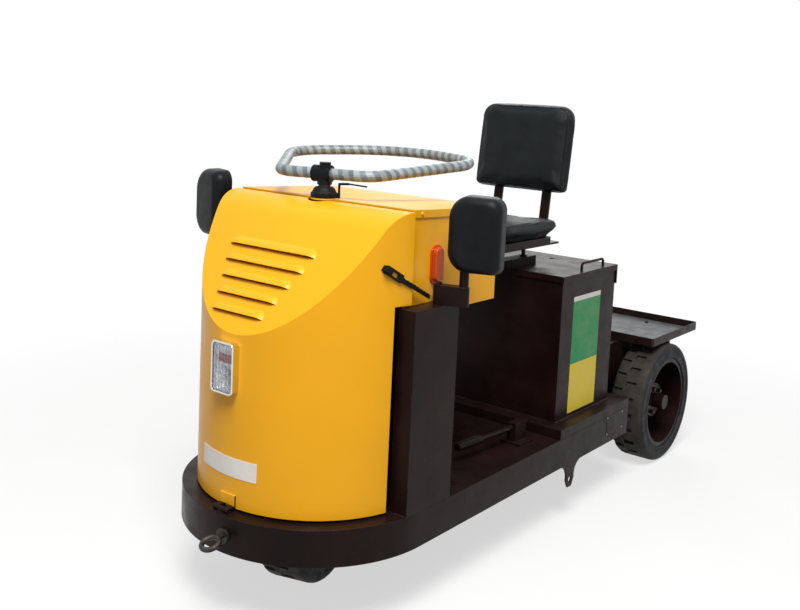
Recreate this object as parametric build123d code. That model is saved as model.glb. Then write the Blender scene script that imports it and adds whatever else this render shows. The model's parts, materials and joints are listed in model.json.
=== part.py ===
from build123d import *
import math
import os

# Airport baggage tug: a three-wheeled electric tow tractor, one steered wheel under a nose hood.
# Millimetres, +Z up, the ground at Z = 0. The tug faces -Y, and +X is its left side.
# Y is measured from the rear axle. At the end the whole tug moves along Y, so that the origin
# lies on the ground midway between the tip of the tow eye and the end of the hitch.

# Sheet and plate
SHEET = 3.0
PLATE = 6.0
RUNNING_FIT = 0.05
SEAT_GAP = 0.3
MOVING_GAP = 6.0

# Wheels
TYRE_RADIUS = 201.0
TYRE_WIDTH = 116.0
TYRE_SHOULDER = 15.0
BEAD_RADIUS = 143.0
BEAD_INSET = 8.0
FLANGE_HEIGHT = 9.0
FLANGE_THICK = 4.0
RIM_WALL = 5.0
DISC_THICK = 8.0
REAR_TRACK = 548.0
REAR_DISC_INSET = 24.0
REAR_HUB_RADIUS = 58.0
REAR_HUB_FACE = 12.0
CAP_RADIUS = 25.0
CAP_FACE = 54.0
NUT_COUNT = 5
NUT_CIRCLE = 42.0
NUT_RADIUS = 8.0
NUT_HEIGHT = 9.0
FRONT_HUB_RADIUS = 40.0
HAND_HOLES = 6
HAND_HOLE_CIRCLE = 90.0
HAND_HOLE_RADIUS = 19.0

# Rear axle, motor and springs
SPINDLE_RADIUS = 20.0
AXLE_RADIUS = 38.0
AXLE_HALF = 205.0
BACKPLATE_RADIUS = 110.0
DIFF_RADIUS = 86.0
DIFF_HALF = 60.0
MOTOR_RADIUS = 79.0
MOTOR_END = -285.0
MOTOR_FIN_GAP = 26.0
SPRING_HALF_SPAN = 215.0
SPRING_MIDDLE = -10.0
SPRING_EYE_RISE = 24.0
SPRING_SAG = 41.0
LEAF_THICK = 8.0
LEAF_HALF_LENGTHS = (205.0, 160.0, 105.0)
EYE_OUTER = 15.0
EYE_PIN = 8.0
HANGER_THICK = 5.0

# Chassis pan, deck and rear frame
COLUMN_WIDTH = 50.0
NOSE_SET = 12.0
FLOOR_RISE = 55.0
SKIRT_DEPTH = 86.0
WELL_CLEARANCE = 4.0
DECK_FRONT = -735.0
DECK_REAR = -300.0
DECK_RISE = 28.0
LUG_Y = -664.0
LUG_REACH = 71.0
LUG_HALF_TOP = 62.0
LUG_HALF_TIP = 22.0
LUG_EYE = 9.0
RAIL_IN = 140.0
RAIL_OUT = 190.0
RAIL_TALL = 68.0
FRAME_REAR = 225.0
END_THICK = 12.0
END_DROP = 65.0
END_NARROW = 112.0
LAMP_X = 213.0
LAMP_HALF = 14.0
TAIL_LAMP_TALL = 60.0
TAIL_LAMP_DEEP = 12.0
HITCH_RISE = 14.0
HITCH_GAP = 52.0
HITCH_EAR = 14.0
HITCH_HALF = 32.0
HITCH_PIN = 13.0
HITCH_PIN_Y = 298.0

# Columns, firewall and console
CONSOLE_RISE = 694.0
CONSOLE_TALL = 248.0
CONSOLE_REACH = 351.0
CONSOLE_LAP = 24.0
COLUMN_DROP = 217.0
COLUMN_AHEAD = 44.0
FIREWALL_BEHIND = 125.0
COVER_THICK = 4.0
COVER_FALL = 15.0
COVER_FLANGE = 18.0
HOUSING_GAP = 23.0
MARKER_BEHIND = 88.0
MARKER_DROP = 130.0
MARKER_WIDE = 42.0
MARKER_HIGH = 92.0
MARKER_PROUD = 16.0
MARKER_BASE = 5.0

# Nose hood
LEDGE = 36.0
SLOPE_TALL = 288.0
SLOPE_ANGLE = 53.0
ROLL_RADIUS = 100.0
LOUVRE_SHIFT = 20.0
LOUVRE_FIRST = 46.4
LOUVRE_PITCH = 42.5
LOUVRE_WIDTHS = (168.0, 197.0, 225.0, 258.0, 281.0)
LOUVRE_ROUND = 34.0
LOUVRE_DEPTH = 24.0
LAMP_WIDTH = 90.0
LAMP_TALL = 130.0
LAMP_BELOW = 24.0
LAMP_PROUD = 27.0
LAMP_CORNER = 9.0
LAMP_RIM = 8.0
LAMP_POCKET = 16.0
HINGE_AHEAD = 19.0
HINGE_RADIUS = 6.0
HINGE_PIN = 3.0
HINGE_HALF = 24.0
KNUCKLE_HALF = 9.0
KNUCKLE_GAP = 0.5
LATCH_AHEAD = 92.0
LATCH_DROP = 122.0
LATCH_BLOCK = 13.0
FINGER_LENGTH = 47.0
FINGER_FALL = 29.0
FINGER_WIDE = 19.0
FINGER_HOLE = 10.0
STRAP_FALL = 0.525
STRAP_WIDTH = 10.0
STRAP_THICK = 4.0
STRAP_RIBS = 7

# Steering
STEER_REST = 16.5
FORK_CLEARANCE = 8.0
FORK_PLATE = 15.0
FORK_TOP_HALF = 50.0
FORK_FOOT_RADIUS = 30.0
CROWN_GAP = 15.0
CROWN_THICK = 16.0
AXLE_PIN = 12.0
SHAFT_RADIUS = 20.0
NECK_RADIUS = 15.0
BRIDGE_CLEAR = 13.0
BRIDGE_THICK = 24.0
BRIDGE_HALF = 30.0
BRIDGE_GAP = 8.8
BRIDGE_LEG = 30.0
LEG_GAP = 28.0
HEAD_RADIUS = 34.0
HEAD_TALL = 114.0
BOOT_RADIUS = 33.0
BOOT_RING = 11.0
BOOT_RISE = 30.0
BOOT_NECK = 22.0
BOOT_FLUTES = 10
BOOT_FLUTE_RADIUS = 4.0
LEVER_OUT = 36.0
LEVER_AIM = 37.7
LEVER_REACH = 104.0
LEVER_WIRE = 2.0
CLAMP_RADIUS = 18.0
CLAMP_REACH = 30.0
CLAMP_WALL = 6.5
CLAMP_WEB = 2.5
HOOP_RISE = 62.0
HOOP_TUBE = 14.0
HOOP_TILT = 4.2
HOOP_FRONT = 125.0
HOOP_WIDE = 285.0
HOOP_WIDE_AT = 360.0
HOOP_APEX = 525.0
HOOP_ROUND_FRONT = 60.0
HOOP_ROUND_WIDE = 100.0
HOOP_ROUND_APEX = 300.0

# Mirrors
MIRROR_BEHIND = 70.0
MIRROR_OUT = 58.0
MIRROR_NECKS = (86.0, -14.0)
MIRROR_ARM_TALL = 46.0
MIRROR_ARM_HALF = 14.0
MIRROR_NECK = 11.0
MIRROR_WIDE = 137.0
MIRROR_TALL = 180.0
MIRROR_DEEP = 50.0
MIRROR_ROUNDS = (48.0, 26.0)
MIRROR_BOW = 5.0
MIRROR_TAPER = 9.0
MIRROR_RISE = 78.0
MIRROR_OFFSET = 27.0
MIRROR_RIM = 7.0
GLASS_THICK = 3.0

# Seat box and lid
BOX_INSET = 46.0
BOX_FRONT = -693.0
BOX_REAR = -363.0
BOX_TALL = 427.0
BATTERY_GAP = 26.0
BATTERY_TALL = 313.0
LID_THICK = 4.0
LID_SKIRT = 14.0
LID_REAR_SKIRT = 56.0
LID_SIDE_GAP = 2.0
LID_HINGE_OUT = 9.0
LID_HINGE_YS = (-620.0, -440.0)
LID_KNUCKLE = 22.0
LID_HOLE = 8.0
LID_HOLE_X = 97.0
LID_HOLE_Y = -436.0
HANDLE_INSET = 16.0
HANDLE_BEHIND = 40.0
HANDLE_HALF = 68.0
HANDLE_RISE = 22.0
HANDLE_WIRE = 4.0

# Seat
SEAT_RISE = 60.7
FOOTWELL = 174.0
SLIDE_X = 90.0
SLIDE_HALF = 20.0
SLIDE_TALL = 25.0
SLIDE_FRONT = -800.0
SLIDE_REAR = -556.0
STUD_YS = (-760.0, -600.0)
STUD_RADIUS = 6.0
SEAT_PLATE_HALF = 150.0
PAN_THICK = 24.0
PAN_INSET = 25.0
CUSHION_HALF = 195.0
CUSHION_FRONT = -875.0
CUSHION_REAR = -540.0
CUSHION_THICK = 52.0
CUSHION_ROUND = 45.0
BACK_HALF = 168.0
BACK_RISE = 151.0
BACK_TALL = 276.0
BACK_THICK = 45.0
BACK_REAR = -500.0
BACK_LEAN = 7.0
BACK_ROUND_TOP = 48.0
BACK_ROUND_LOW = 18.0
BAR_X = 88.0
BAR_WIDE = 30.0
BAR_THICK = 8.0
BAR_LAP = 173.0

# Tray and drive cover
TRAY_INSET = 10.5
TRAY_FRONT = -114.0
TRAY_REAR = 261.0
TRAY_RISE = 156.0
TRAY_LIP = 28.0
COVER_HALF = 196.0
DRIVE_COVER_FRONT = -350.0

# Tow eye and footwell
EYE_X = 25.0
EYE_DROP = 51.0
EYE_RING = 20.0
EYE_WIRE = 6.0
EYE_REACH = 35.0
EYE_DROOP = 20.0
BRAKE_INSET = 90.0
BRAKE_Y = -830.0
BRAKE_RISE = 44.0
BRAKE_LENGTH = 261.0
BRAKE_TURN = 4.6
BRAKE_ROD = 7.0
BRAKE_CHEEK = 14.0
BRAKE_FOOT = 34.0
GRIP_RADIUS = 11.0
GRIP_LENGTH = 100.0
PEDAL_BEHIND = 280.0
PEDAL_RISE = 90.0
PEDAL_LONG = 60.0
PEDAL_LEAN = 35.0
PEDAL_ROD = 7.0
PEDAL_FOOT = 24.0
PEDAL_FOOT_LONG = 40.0
PEDAL_FOOT_TALL = 16.0
PEDALS = ((-110.0, 74.0), (40.0, 56.0))

# Worked out from the sizes above
TYRE_SWEEP = math.hypot(TYRE_RADIUS, TYRE_WIDTH / 2)
WELL_RADIUS = TYRE_SWEEP + WELL_CLEARANCE
BRIDGE_LEG_IN = WELL_RADIUS + BRIDGE_GAP
BRIDGE_LEG_OUT = BRIDGE_LEG_IN + BRIDGE_LEG
CONSOLE_HALF = BRIDGE_LEG_OUT + LEG_GAP
HALF_WIDTH = CONSOLE_HALF + COLUMN_WIDTH
HOOD_RADIUS = HALF_WIDTH - LEDGE
BOX_HALF = HALF_WIDTH - BOX_INSET
TRAY_HALF = HALF_WIDTH - TRAY_INSET
WHEELBASE = CONSOLE_REACH + FOOTWELL - CUSHION_FRONT
STEER_Y = -WHEELBASE
NOSE_Y = STEER_Y + NOSE_SET
NOSE_TIP = NOSE_Y - HALF_WIDTH
HOOD_FACE = NOSE_Y - HOOD_RADIUS
HINGE_Y = HOOD_FACE - HINGE_AHEAD
COLUMN_FRONT = STEER_Y - COLUMN_AHEAD
FIREWALL_Y = STEER_Y + FIREWALL_BEHIND
CONSOLE_REAR = STEER_Y + CONSOLE_REACH
COVER_FRONT = STEER_Y - MOVING_GAP
HOOD_SEAM = COVER_FRONT - MOVING_GAP
HOOD_REAR_LOW = COLUMN_FRONT - COVER_FLANGE
CONSOLE_NOSE = COVER_FRONT - CONSOLE_LAP
PEDAL_Y = STEER_Y + PEDAL_BEHIND
FLOOR_Z = TYRE_RADIUS + FLOOR_RISE
HOOD_LOW = FLOOR_Z + MOVING_GAP
SKIRT_Z = FLOOR_Z - SKIRT_DEPTH
DECK_Z = FLOOR_Z + DECK_RISE
RAIL_LOW = FLOOR_Z + MOVING_GAP
RAIL_HIGH = RAIL_LOW + RAIL_TALL
SPRING_EYE_Z = TYRE_RADIUS + SPRING_EYE_RISE
SPRING_LOW_Z = TYRE_RADIUS - SPRING_SAG
HITCH_Z = TYRE_RADIUS + HITCH_RISE
END_LOW = HITCH_Z - END_DROP
TRAY_FLOOR_Z = FLOOR_Z + TRAY_RISE
TAIL_LAMP_HIGH = TRAY_FLOOR_Z - END_THICK
TAIL_LAMP_LOW = TAIL_LAMP_HIGH - TAIL_LAMP_TALL
CONSOLE_TOP = FLOOR_Z + CONSOLE_RISE
CONSOLE_LOW = CONSOLE_TOP - CONSOLE_TALL
COLUMN_TOP = CONSOLE_TOP - COLUMN_DROP
HOUSING_TOP = 2 * TYRE_RADIUS + HOUSING_GAP
HOOD_TOP = CONSOLE_TOP
HOOD_BREAK_Z = COLUMN_TOP + MOVING_GAP
SLOPE_FOOT_Z = HOOD_TOP - SLOPE_TALL
LAMP_HIGH = SLOPE_FOOT_Z - LAMP_BELOW
LAMP_LOW = LAMP_HIGH - LAMP_TALL
CROWN_LOW = 2 * TYRE_RADIUS + CROWN_GAP
CROWN_HIGH = CROWN_LOW + CROWN_THICK
BRIDGE_LOW = CROWN_HIGH + BRIDGE_CLEAR
HEAD_TOP = BRIDGE_LOW + HEAD_TALL
BOOT_TOP = CONSOLE_TOP + BOOT_RISE
HOOP_Z = CONSOLE_TOP + HOOP_RISE
FORK_IN = TYRE_WIDTH / 2 + FORK_CLEARANCE
FORK_OUT = FORK_IN + FORK_PLATE
HUB_IN = -TYRE_WIDTH / 2 + FLANGE_THICK
BOX_TOP = DECK_Z + BOX_TALL
LID_LOW = BOX_TOP + SEAT_GAP
LID_TOP = LID_LOW + LID_THICK
LID_HINGE_X = -BOX_HALF - LID_HINGE_OUT
LID_HINGE_Z = BOX_TOP
NECK_TOP = HOOP_Z - HOOP_TUBE - CLAMP_WEB
SEAT_PLATE_Z = LID_TOP + SEAT_RISE
PAN_LOW = SEAT_PLATE_Z + PLATE
CUSHION_LOW = PAN_LOW + PAN_THICK
BACK_LOW = SEAT_PLATE_Z + BACK_RISE
HINGE_Z = FLOOR_Z + HINGE_RADIUS
HITCH_END = HITCH_PIN_Y + HITCH_HALF
EYE_TIP = NOSE_TIP - EYE_REACH - EYE_RING - EYE_WIRE
TUG_SHIFT = -(EYE_TIP + HITCH_END) / 2
SIDES = (1, -1)


def block(x, y, z):
    """Box between two X, two Y and two Z values."""
    size = Box(abs(x[1] - x[0]), abs(y[1] - y[0]), abs(z[1] - z[0]))
    return Pos((x[0] + x[1]) / 2, (y[0] + y[1]) / 2, (z[0] + z[1]) / 2) * size


def rod_x(radius, x, y, z):
    """Round bar along X between two X values."""
    return Pos((x[0] + x[1]) / 2, y, z) * Rot(0, 90, 0) * Cylinder(radius, abs(x[1] - x[0]))


def rod_y(radius, x, y, z):
    """Round bar along Y between two Y values."""
    return Pos(x, (y[0] + y[1]) / 2, z) * Rot(90, 0, 0) * Cylinder(radius, abs(y[1] - y[0]))


def rod_z(radius, x, y, z):
    """Round bar along Z between two Z values."""
    return Pos(x, y, (z[0] + z[1]) / 2) * Cylinder(radius, abs(z[1] - z[0]))


def rod_between(radius, start, end):
    """Round bar from one point to another."""
    axis = Vector(*end) - Vector(*start)
    return extrude(Plane(origin=start, z_dir=axis) * Circle(radius), axis.length)


def side_prism(points, x0, x1):
    """Prism from one X to another over a side outline of (Y, Z) points."""
    outline = make_face(Plane.YZ * Polyline(*points, close=True))
    return Pos(x0, 0, 0) * extrude(outline, x1 - x0, dir=(1, 0, 0))


def ring_x(outer, inner, x0, x1):
    """Ring about the X axis between two X values."""
    return rod_x(outer, (x0, x1), 0, 0) - rod_x(inner, (x0 - 1, x1 + 1), 0, 0)


def nose_prism(radius, y_end, z0, z1):
    """Prism with a half-round nose about the nose centre and straight sides back to y_end."""
    nose = rod_z(radius, 0, NOSE_Y, (z0, z1)) & block((-radius, radius), (NOSE_Y - radius, NOSE_Y), (z0, z1))
    return nose + block((-radius, radius), (NOSE_Y, y_end), (z0, z1))


def nose_band(radius, thick, y_end, z0, z1):
    """Wall of a given thickness standing on the outside of a nose prism."""
    return nose_prism(radius + thick, y_end, z0, z1) - nose_prism(radius, y_end, z0 - 1, z1 + 1)


def steered(shape):
    """Place a piece of the steering, made about the Z axis, as it stands parked."""
    return Pos(0, STEER_Y, 0) * Rot(0, 0, STEER_REST) * shape


def side_lug(side):
    """Lug below the pan at one side, swept into the skirt by two round hollows, with its eye."""
    tip_z = SKIRT_Z - LUG_REACH
    skirt_x = side * (HALF_WIDTH - PLATE)
    outline = [(LUG_Y - LUG_HALF_TOP, SKIRT_Z), (LUG_Y - LUG_HALF_TIP, tip_z + LUG_HALF_TIP),
               (LUG_Y - LUG_HALF_TIP / 2, tip_z), (LUG_Y + LUG_HALF_TIP / 2, tip_z),
               (LUG_Y + LUG_HALF_TIP, tip_z + LUG_HALF_TIP), (LUG_Y + LUG_HALF_TOP, SKIRT_Z)]
    lug = side_prism(outline, min(skirt_x, side * HALF_WIDTH), max(skirt_x, side * HALF_WIDTH))
    hollow = LUG_HALF_TOP - LUG_HALF_TIP
    reach = (-HALF_WIDTH - 1, HALF_WIDTH + 1)
    for turn in SIDES:
        lug -= rod_x(hollow, reach, LUG_Y + turn * LUG_HALF_TOP, SKIRT_Z - hollow)
    return lug - rod_x(LUG_EYE, reach, LUG_Y, tip_z + LUG_HALF_TIP)


def chassis_pan():
    """Round-nosed floor plate with its skirt, open below, pierced by the well of the steered wheel."""
    inside = HALF_WIDTH - PLATE
    pan = nose_prism(HALF_WIDTH, DECK_REAR, SKIRT_Z, FLOOR_Z)
    pan -= nose_prism(inside, DECK_REAR - PLATE, SKIRT_Z - 1, FLOOR_Z - PLATE)
    pan += block((-inside, inside), (DECK_FRONT, DECK_FRONT + PLATE), (SKIRT_Z, FLOOR_Z - PLATE))
    pan += block((-inside, inside), (FIREWALL_Y, FIREWALL_Y + PLATE), (SKIRT_Z, FLOOR_Z - PLATE))
    pan -= rod_z(WELL_RADIUS, 0, STEER_Y, (SKIRT_Z - 1, FLOOR_Z + 1))
    for side in SIDES:
        pan += side_lug(side)
    return pan + hinge_base()


def hinge_base():
    """Middle knuckle of the hood hinge on the ledge, with its pin."""
    knuckle = rod_x(HINGE_RADIUS, (-KNUCKLE_HALF, KNUCKLE_HALF), HINGE_Y, HINGE_Z)
    foot = block((-KNUCKLE_HALF, KNUCKLE_HALF), (HINGE_Y - HINGE_RADIUS, HINGE_Y + HINGE_RADIUS),
                 (FLOOR_Z, HINGE_Z))
    pin = rod_x(HINGE_PIN, (-HINGE_HALF, HINGE_HALF), HINGE_Y, HINGE_Z)
    return knuckle + foot + pin


def rear_deck():
    """Raised deck plate on the rear of the pan, folded down on all sides."""
    deck = block((-HALF_WIDTH, HALF_WIDTH), (DECK_FRONT, DECK_REAR), (FLOOR_Z, DECK_Z))
    inside = HALF_WIDTH - SHEET
    return deck - block((-inside, inside), (DECK_FRONT + SHEET, DECK_REAR - SHEET), (FLOOR_Z - 1, DECK_Z - SHEET))


def rear_frame():
    """Two box rails with spring hangers, the end plate and the clevis of the hitch, all welded."""
    plate = block((-END_NARROW, END_NARROW), (FRAME_REAR, FRAME_REAR + END_THICK), (END_LOW, TRAY_FLOOR_Z))
    plate += block((-COVER_HALF, COVER_HALF), (FRAME_REAR, FRAME_REAR + END_THICK), (RAIL_LOW, TRAY_FLOOR_Z))
    wing = LAMP_X + LAMP_HALF + PLATE
    plate += block((-wing, wing), (FRAME_REAR, FRAME_REAR + END_THICK), (TAIL_LAMP_LOW - PLATE, TRAY_FLOOR_Z))
    frame = plate + hitch_clevis()
    for side in SIDES:
        frame += rear_rail(side)
    return frame


def rear_rail(side):
    """Box rail over the springs at one side, with a hanger and its pin for each spring eye."""
    rail = block((side * RAIL_IN, side * RAIL_OUT), (DECK_REAR, FRAME_REAR), (RAIL_LOW, RAIL_HIGH))
    wall = PLATE / 2
    rail -= block((side * (RAIL_IN + wall), side * (RAIL_OUT - wall)), (DECK_REAR + wall, FRAME_REAR - wall),
                  (RAIL_LOW + wall, RAIL_HIGH - wall))
    for end in SIDES:
        eye_y = SPRING_MIDDLE + end * SPRING_HALF_SPAN
        for face, out in ((RAIL_IN, -1), (RAIL_OUT, 1)):
            rail += block((side * face, side * (face + out * HANGER_THICK)), (eye_y - EYE_OUTER, eye_y + EYE_OUTER),
                          (SPRING_EYE_Z - EYE_OUTER, DECK_Z - SEAT_GAP))
        reach = (side * (RAIL_IN - HANGER_THICK), side * (RAIL_OUT + HANGER_THICK))
        rail += rod_x(EYE_PIN, reach, eye_y, SPRING_EYE_Z)
    return rail


def hitch_clevis():
    """Two level ears with a round end and an upright bore for the drawbar pin."""
    ears = block((-HITCH_HALF, HITCH_HALF), (FRAME_REAR, HITCH_PIN_Y),
                 (HITCH_Z - HITCH_GAP / 2 - HITCH_EAR, HITCH_Z + HITCH_GAP / 2 + HITCH_EAR))
    tall = (HITCH_Z - HITCH_GAP / 2 - HITCH_EAR, HITCH_Z + HITCH_GAP / 2 + HITCH_EAR)
    ears += rod_z(HITCH_HALF, 0, HITCH_PIN_Y, tall)
    ears -= block((-HITCH_HALF - 1, HITCH_HALF + 1), (FRAME_REAR + END_THICK, HITCH_END + 1),
                  (HITCH_Z - HITCH_GAP / 2, HITCH_Z + HITCH_GAP / 2))
    return ears - rod_z(HITCH_PIN, 0, HITCH_PIN_Y, (tall[0] - 1, tall[1] + 1))


def column(side):
    """Box post beside the console, open below where it stands on the floor."""
    post = block((side * CONSOLE_HALF, side * HALF_WIDTH), (COLUMN_FRONT, FIREWALL_Y), (FLOOR_Z, COLUMN_TOP))
    hollow = block((side * (CONSOLE_HALF + SHEET), side * (HALF_WIDTH - SHEET)),
                   (COLUMN_FRONT + SHEET, FIREWALL_Y - SHEET), (FLOOR_Z - 1, COLUMN_TOP - SHEET))
    return post - hollow


def firewall():
    """Panel between the columns, bulged rearwards as a half-round housing over the steered wheel."""
    inside = CONSOLE_HALF
    panel = block((-inside, inside), (FIREWALL_Y - SHEET, FIREWALL_Y), (FLOOR_Z, CONSOLE_LOW))
    rear = block((-inside, inside), (FIREWALL_Y - SHEET, STEER_Y + 2 * WELL_RADIUS), (FLOOR_Z, HOUSING_TOP))
    drum = rod_z(WELL_RADIUS + 2 * SHEET, 0, STEER_Y, (FLOOR_Z, HOUSING_TOP)) & rear
    hollow = rod_z(WELL_RADIUS + SHEET, 0, STEER_Y, (FLOOR_Z - 1, HOUSING_TOP - SHEET))
    return panel + drum - hollow


def cover_line(y):
    """Height of the console's top edge at one Y: it falls evenly to the rear."""
    return CONSOLE_TOP - COVER_FALL * (y - COVER_FRONT) / (CONSOLE_REAR - COVER_FRONT)


def console():
    """Sheet box behind the hood: two sides that reach into it, a floor over the footwell, a rear wall."""
    outline = [(CONSOLE_NOSE, CONSOLE_LOW), (CONSOLE_REAR, CONSOLE_LOW), (CONSOLE_REAR, cover_line(CONSOLE_REAR)),
               (COVER_FRONT, CONSOLE_TOP), (COVER_FRONT, CONSOLE_TOP - COVER_FLANGE),
               (CONSOLE_NOSE, CONSOLE_TOP - 2 * COVER_FLANGE)]
    inside = CONSOLE_HALF - SHEET
    shell = side_prism(outline, -CONSOLE_HALF, CONSOLE_HALF)
    shell -= block((-inside, inside), (CONSOLE_NOSE - 1, CONSOLE_REAR - SHEET), (CONSOLE_LOW + SHEET, CONSOLE_TOP + 1))
    return shell - block((-inside, inside), (CONSOLE_NOSE - 1, FIREWALL_Y), (CONSOLE_LOW - 1, CONSOLE_TOP))


def console_cover():
    """Top sheet of the console, falling a little to the rear, flanged, with a tongue under the boot."""
    rear = CONSOLE_REAR + SHEET
    half = CONSOLE_HALF + SHEET
    high = CONSOLE_TOP + COVER_THICK
    outer = side_prism([(COVER_FRONT, high - COVER_FLANGE), (rear, cover_line(rear) + COVER_THICK - COVER_FLANGE),
                        (rear, cover_line(rear) + COVER_THICK), (COVER_FRONT, high)], -half, half)
    ahead = COVER_FRONT - SHEET
    inner = side_prism([(ahead, FLOOR_Z), (CONSOLE_REAR, FLOOR_Z), (CONSOLE_REAR, cover_line(CONSOLE_REAR)),
                        (ahead, cover_line(ahead))], -CONSOLE_HALF, CONSOLE_HALF)
    tongue = rod_z(BOOT_RADIUS, 0, STEER_Y, (CONSOLE_TOP, high))
    bore = rod_z(NECK_RADIUS + MOVING_GAP, 0, STEER_Y, (FLOOR_Z, high + 1))
    return outer - inner + tongue - bore


def side_markers():
    """Oblong marker lamp on each side of the console: a base and a smaller domed lens."""
    lamps = []
    for side in SIDES:
        middle = (side * CONSOLE_HALF, STEER_Y + MARKER_BEHIND, CONSOLE_TOP - MARKER_DROP)
        wall = Plane(origin=middle, x_dir=(0, 1, 0), z_dir=(side, 0, 0))
        round_end = MARKER_WIDE / 2 - MARKER_BASE / 2
        base = extrude(wall * RectangleRounded(MARKER_WIDE, MARKER_HIGH, round_end), MARKER_BASE)
        inset = 2 * MARKER_BASE
        lens = extrude(wall * RectangleRounded(MARKER_WIDE - inset, MARKER_HIGH - inset, round_end - MARKER_BASE), MARKER_PROUD)
        lens = fillet(lens.edges().sort_by(Axis.X)[-1 if side > 0 else 0], MARKER_BASE)
        lamps.append(base + lens)
    return Compound(lamps)


def hood_profile(inset, rear_y, z_low):
    """Side face of the hood, inset from its skin: wall, sloping face, rolled edge and flat top."""
    angle = math.radians(SLOPE_ANGLE)
    meet_y = HOOD_FACE + (HOOD_TOP - SLOPE_FOOT_Z) / math.tan(angle)
    centre_y = meet_y + ROLL_RADIUS * math.tan(angle / 2)
    centre_z = HOOD_TOP - ROLL_RADIUS
    radius = ROLL_RADIUS - inset
    along = [(centre_y - radius * math.sin(turn), centre_z + radius * math.cos(turn))
             for turn in (0.0, angle / 2, angle)]
    run = (along[2][1] - z_low) / math.sin(angle)
    foot = (along[2][0] - run * math.cos(angle), z_low)
    roll = ThreePointArc(*along)
    rest = Polyline(along[2], foot, (rear_y, z_low), (rear_y, HOOD_TOP - inset), along[0])
    return make_face(Plane.YZ * (roll + rest))


def hood_solid(radius, inset, rear_y, z_low):
    """Round nose under the side outline of the hood."""
    profile = extrude(hood_profile(inset, rear_y, z_low), radius + 1, dir=(1, 0, 0), both=True)
    return nose_prism(radius, rear_y, z_low, HOOD_TOP + 1) & profile


def louvre_place(row):
    """Place on the sloping face of one row of louvres, with Y up the slope and Z outwards."""
    angle = math.radians(SLOPE_ANGLE)
    along = LOUVRE_FIRST + row * LOUVRE_PITCH
    foot = Pos(-LOUVRE_SHIFT, HOOD_FACE + along * math.cos(angle), SLOPE_FOOT_Z + along * math.sin(angle))
    return foot * Rot(SLOPE_ANGLE, 0, 0)


def louvre_form(width, radius):
    """Upper half of a long low bulge with round ends, its axis below the sheet."""
    chord = math.sqrt(LOUVRE_ROUND ** 2 - LOUVRE_DEPTH ** 2)
    half = width / 2 - chord
    bulge = rod_x(radius, (-half, half), 0, 0)
    for side in SIDES:
        bulge += Pos(side * half, 0, 0) * Sphere(radius)
    keep = Pos(0, radius / 2, 0) * Box(width + 2 * radius, radius, 2 * radius)
    return Pos(0, 0, -LOUVRE_DEPTH) * (bulge & keep)


def hood():
    """Nose hood in one sheet: wrapped wall, sloping face with pressed louvres, rolled top, boot notch."""
    inner = HOOD_RADIUS - SHEET
    shell = hood_solid(HOOD_RADIUS, 0, HOOD_SEAM, HOOD_LOW)
    shell -= hood_solid(inner, SHEET, HOOD_SEAM + 1, HOOD_LOW - 1)
    shell -= block((-HOOD_RADIUS - 1, HOOD_RADIUS + 1), (HOOD_REAR_LOW, HOOD_SEAM + 1), (HOOD_LOW - 1, HOOD_BREAK_Z))
    notch = BOOT_RADIUS + MOVING_GAP
    high = (HOOD_TOP - ROLL_RADIUS / 2, HOOD_TOP + 1)
    shell -= rod_z(notch, 0, STEER_Y, high) + block((-notch, notch), (STEER_Y, HOOD_SEAM - 1), high)
    for row, width in enumerate(LOUVRE_WIDTHS):
        outer = louvre_form(width, LOUVRE_ROUND)
        core = louvre_form(width, LOUVRE_ROUND - SHEET)
        sheet_up = Pos(0, 0, LOUVRE_ROUND / 2 - SHEET / 2) * Box(width + 1, 4 * LOUVRE_ROUND, LOUVRE_ROUND)
        shell += louvre_place(row) * (outer & sheet_up)
        shell -= louvre_place(row) * core
    return shell + hood_knuckles()


def hood_knuckles():
    """Outer knuckles of the hood hinge and the leaf that joins them to the nose of the hood."""
    knuckles = None
    for side in SIDES:
        span = (side * (KNUCKLE_HALF + KNUCKLE_GAP), side * HINGE_HALF)
        knuckle = rod_x(HINGE_RADIUS, span, HINGE_Y, HINGE_Z)
        knuckle += block(span, (HINGE_Y, HOOD_FACE + SHEET / 2), (HINGE_Z, HINGE_Z + HINGE_RADIUS))
        knuckle -= rod_x(HINGE_PIN + RUNNING_FIT, (-HINGE_HALF - 1, HINGE_HALF + 1), HINGE_Y, HINGE_Z)
        knuckles = knuckle if knuckles is None else knuckles + knuckle
    leaf = block((-HINGE_HALF, HINGE_HALF), (HOOD_FACE - SHEET, HOOD_FACE + SHEET / 2),
                 (HINGE_Z + HINGE_RADIUS, HINGE_Z + 5 * HINGE_RADIUS))
    return knuckles + leaf


def headlamp():
    """Housing of the headlamp, its back fitted to the round nose, with a pocket for the lens."""
    front = HOOD_FACE - LAMP_PROUD
    half = LAMP_WIDTH / 2
    body = block((-half, half), (front, NOSE_Y), (LAMP_LOW, LAMP_HIGH))
    body = fillet(body.edges().filter_by(Axis.Y), LAMP_CORNER)
    body = fillet(body.edges().filter_by(Plane.XZ).group_by(Axis.Y)[0], SHEET)
    body -= nose_prism(HOOD_RADIUS, NOSE_Y + 1, LAMP_LOW - 1, LAMP_HIGH + 1)
    return body - lens_block(front - 1)


def lens_block(front):
    """Rounded block that fills the pocket of the headlamp from one Y back to its floor."""
    half = LAMP_WIDTH / 2 - LAMP_RIM
    floor = HOOD_FACE - LAMP_PROUD + LAMP_POCKET
    body = block((-half, half), (front, floor), (LAMP_LOW + LAMP_RIM, LAMP_HIGH - LAMP_RIM))
    return fillet(body.edges().filter_by(Axis.Y), LAMP_CORNER / 2)


def headlamp_lens():
    """Clear lens in the headlamp."""
    return lens_block(HOOD_FACE - LAMP_PROUD + SHEET)


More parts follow.
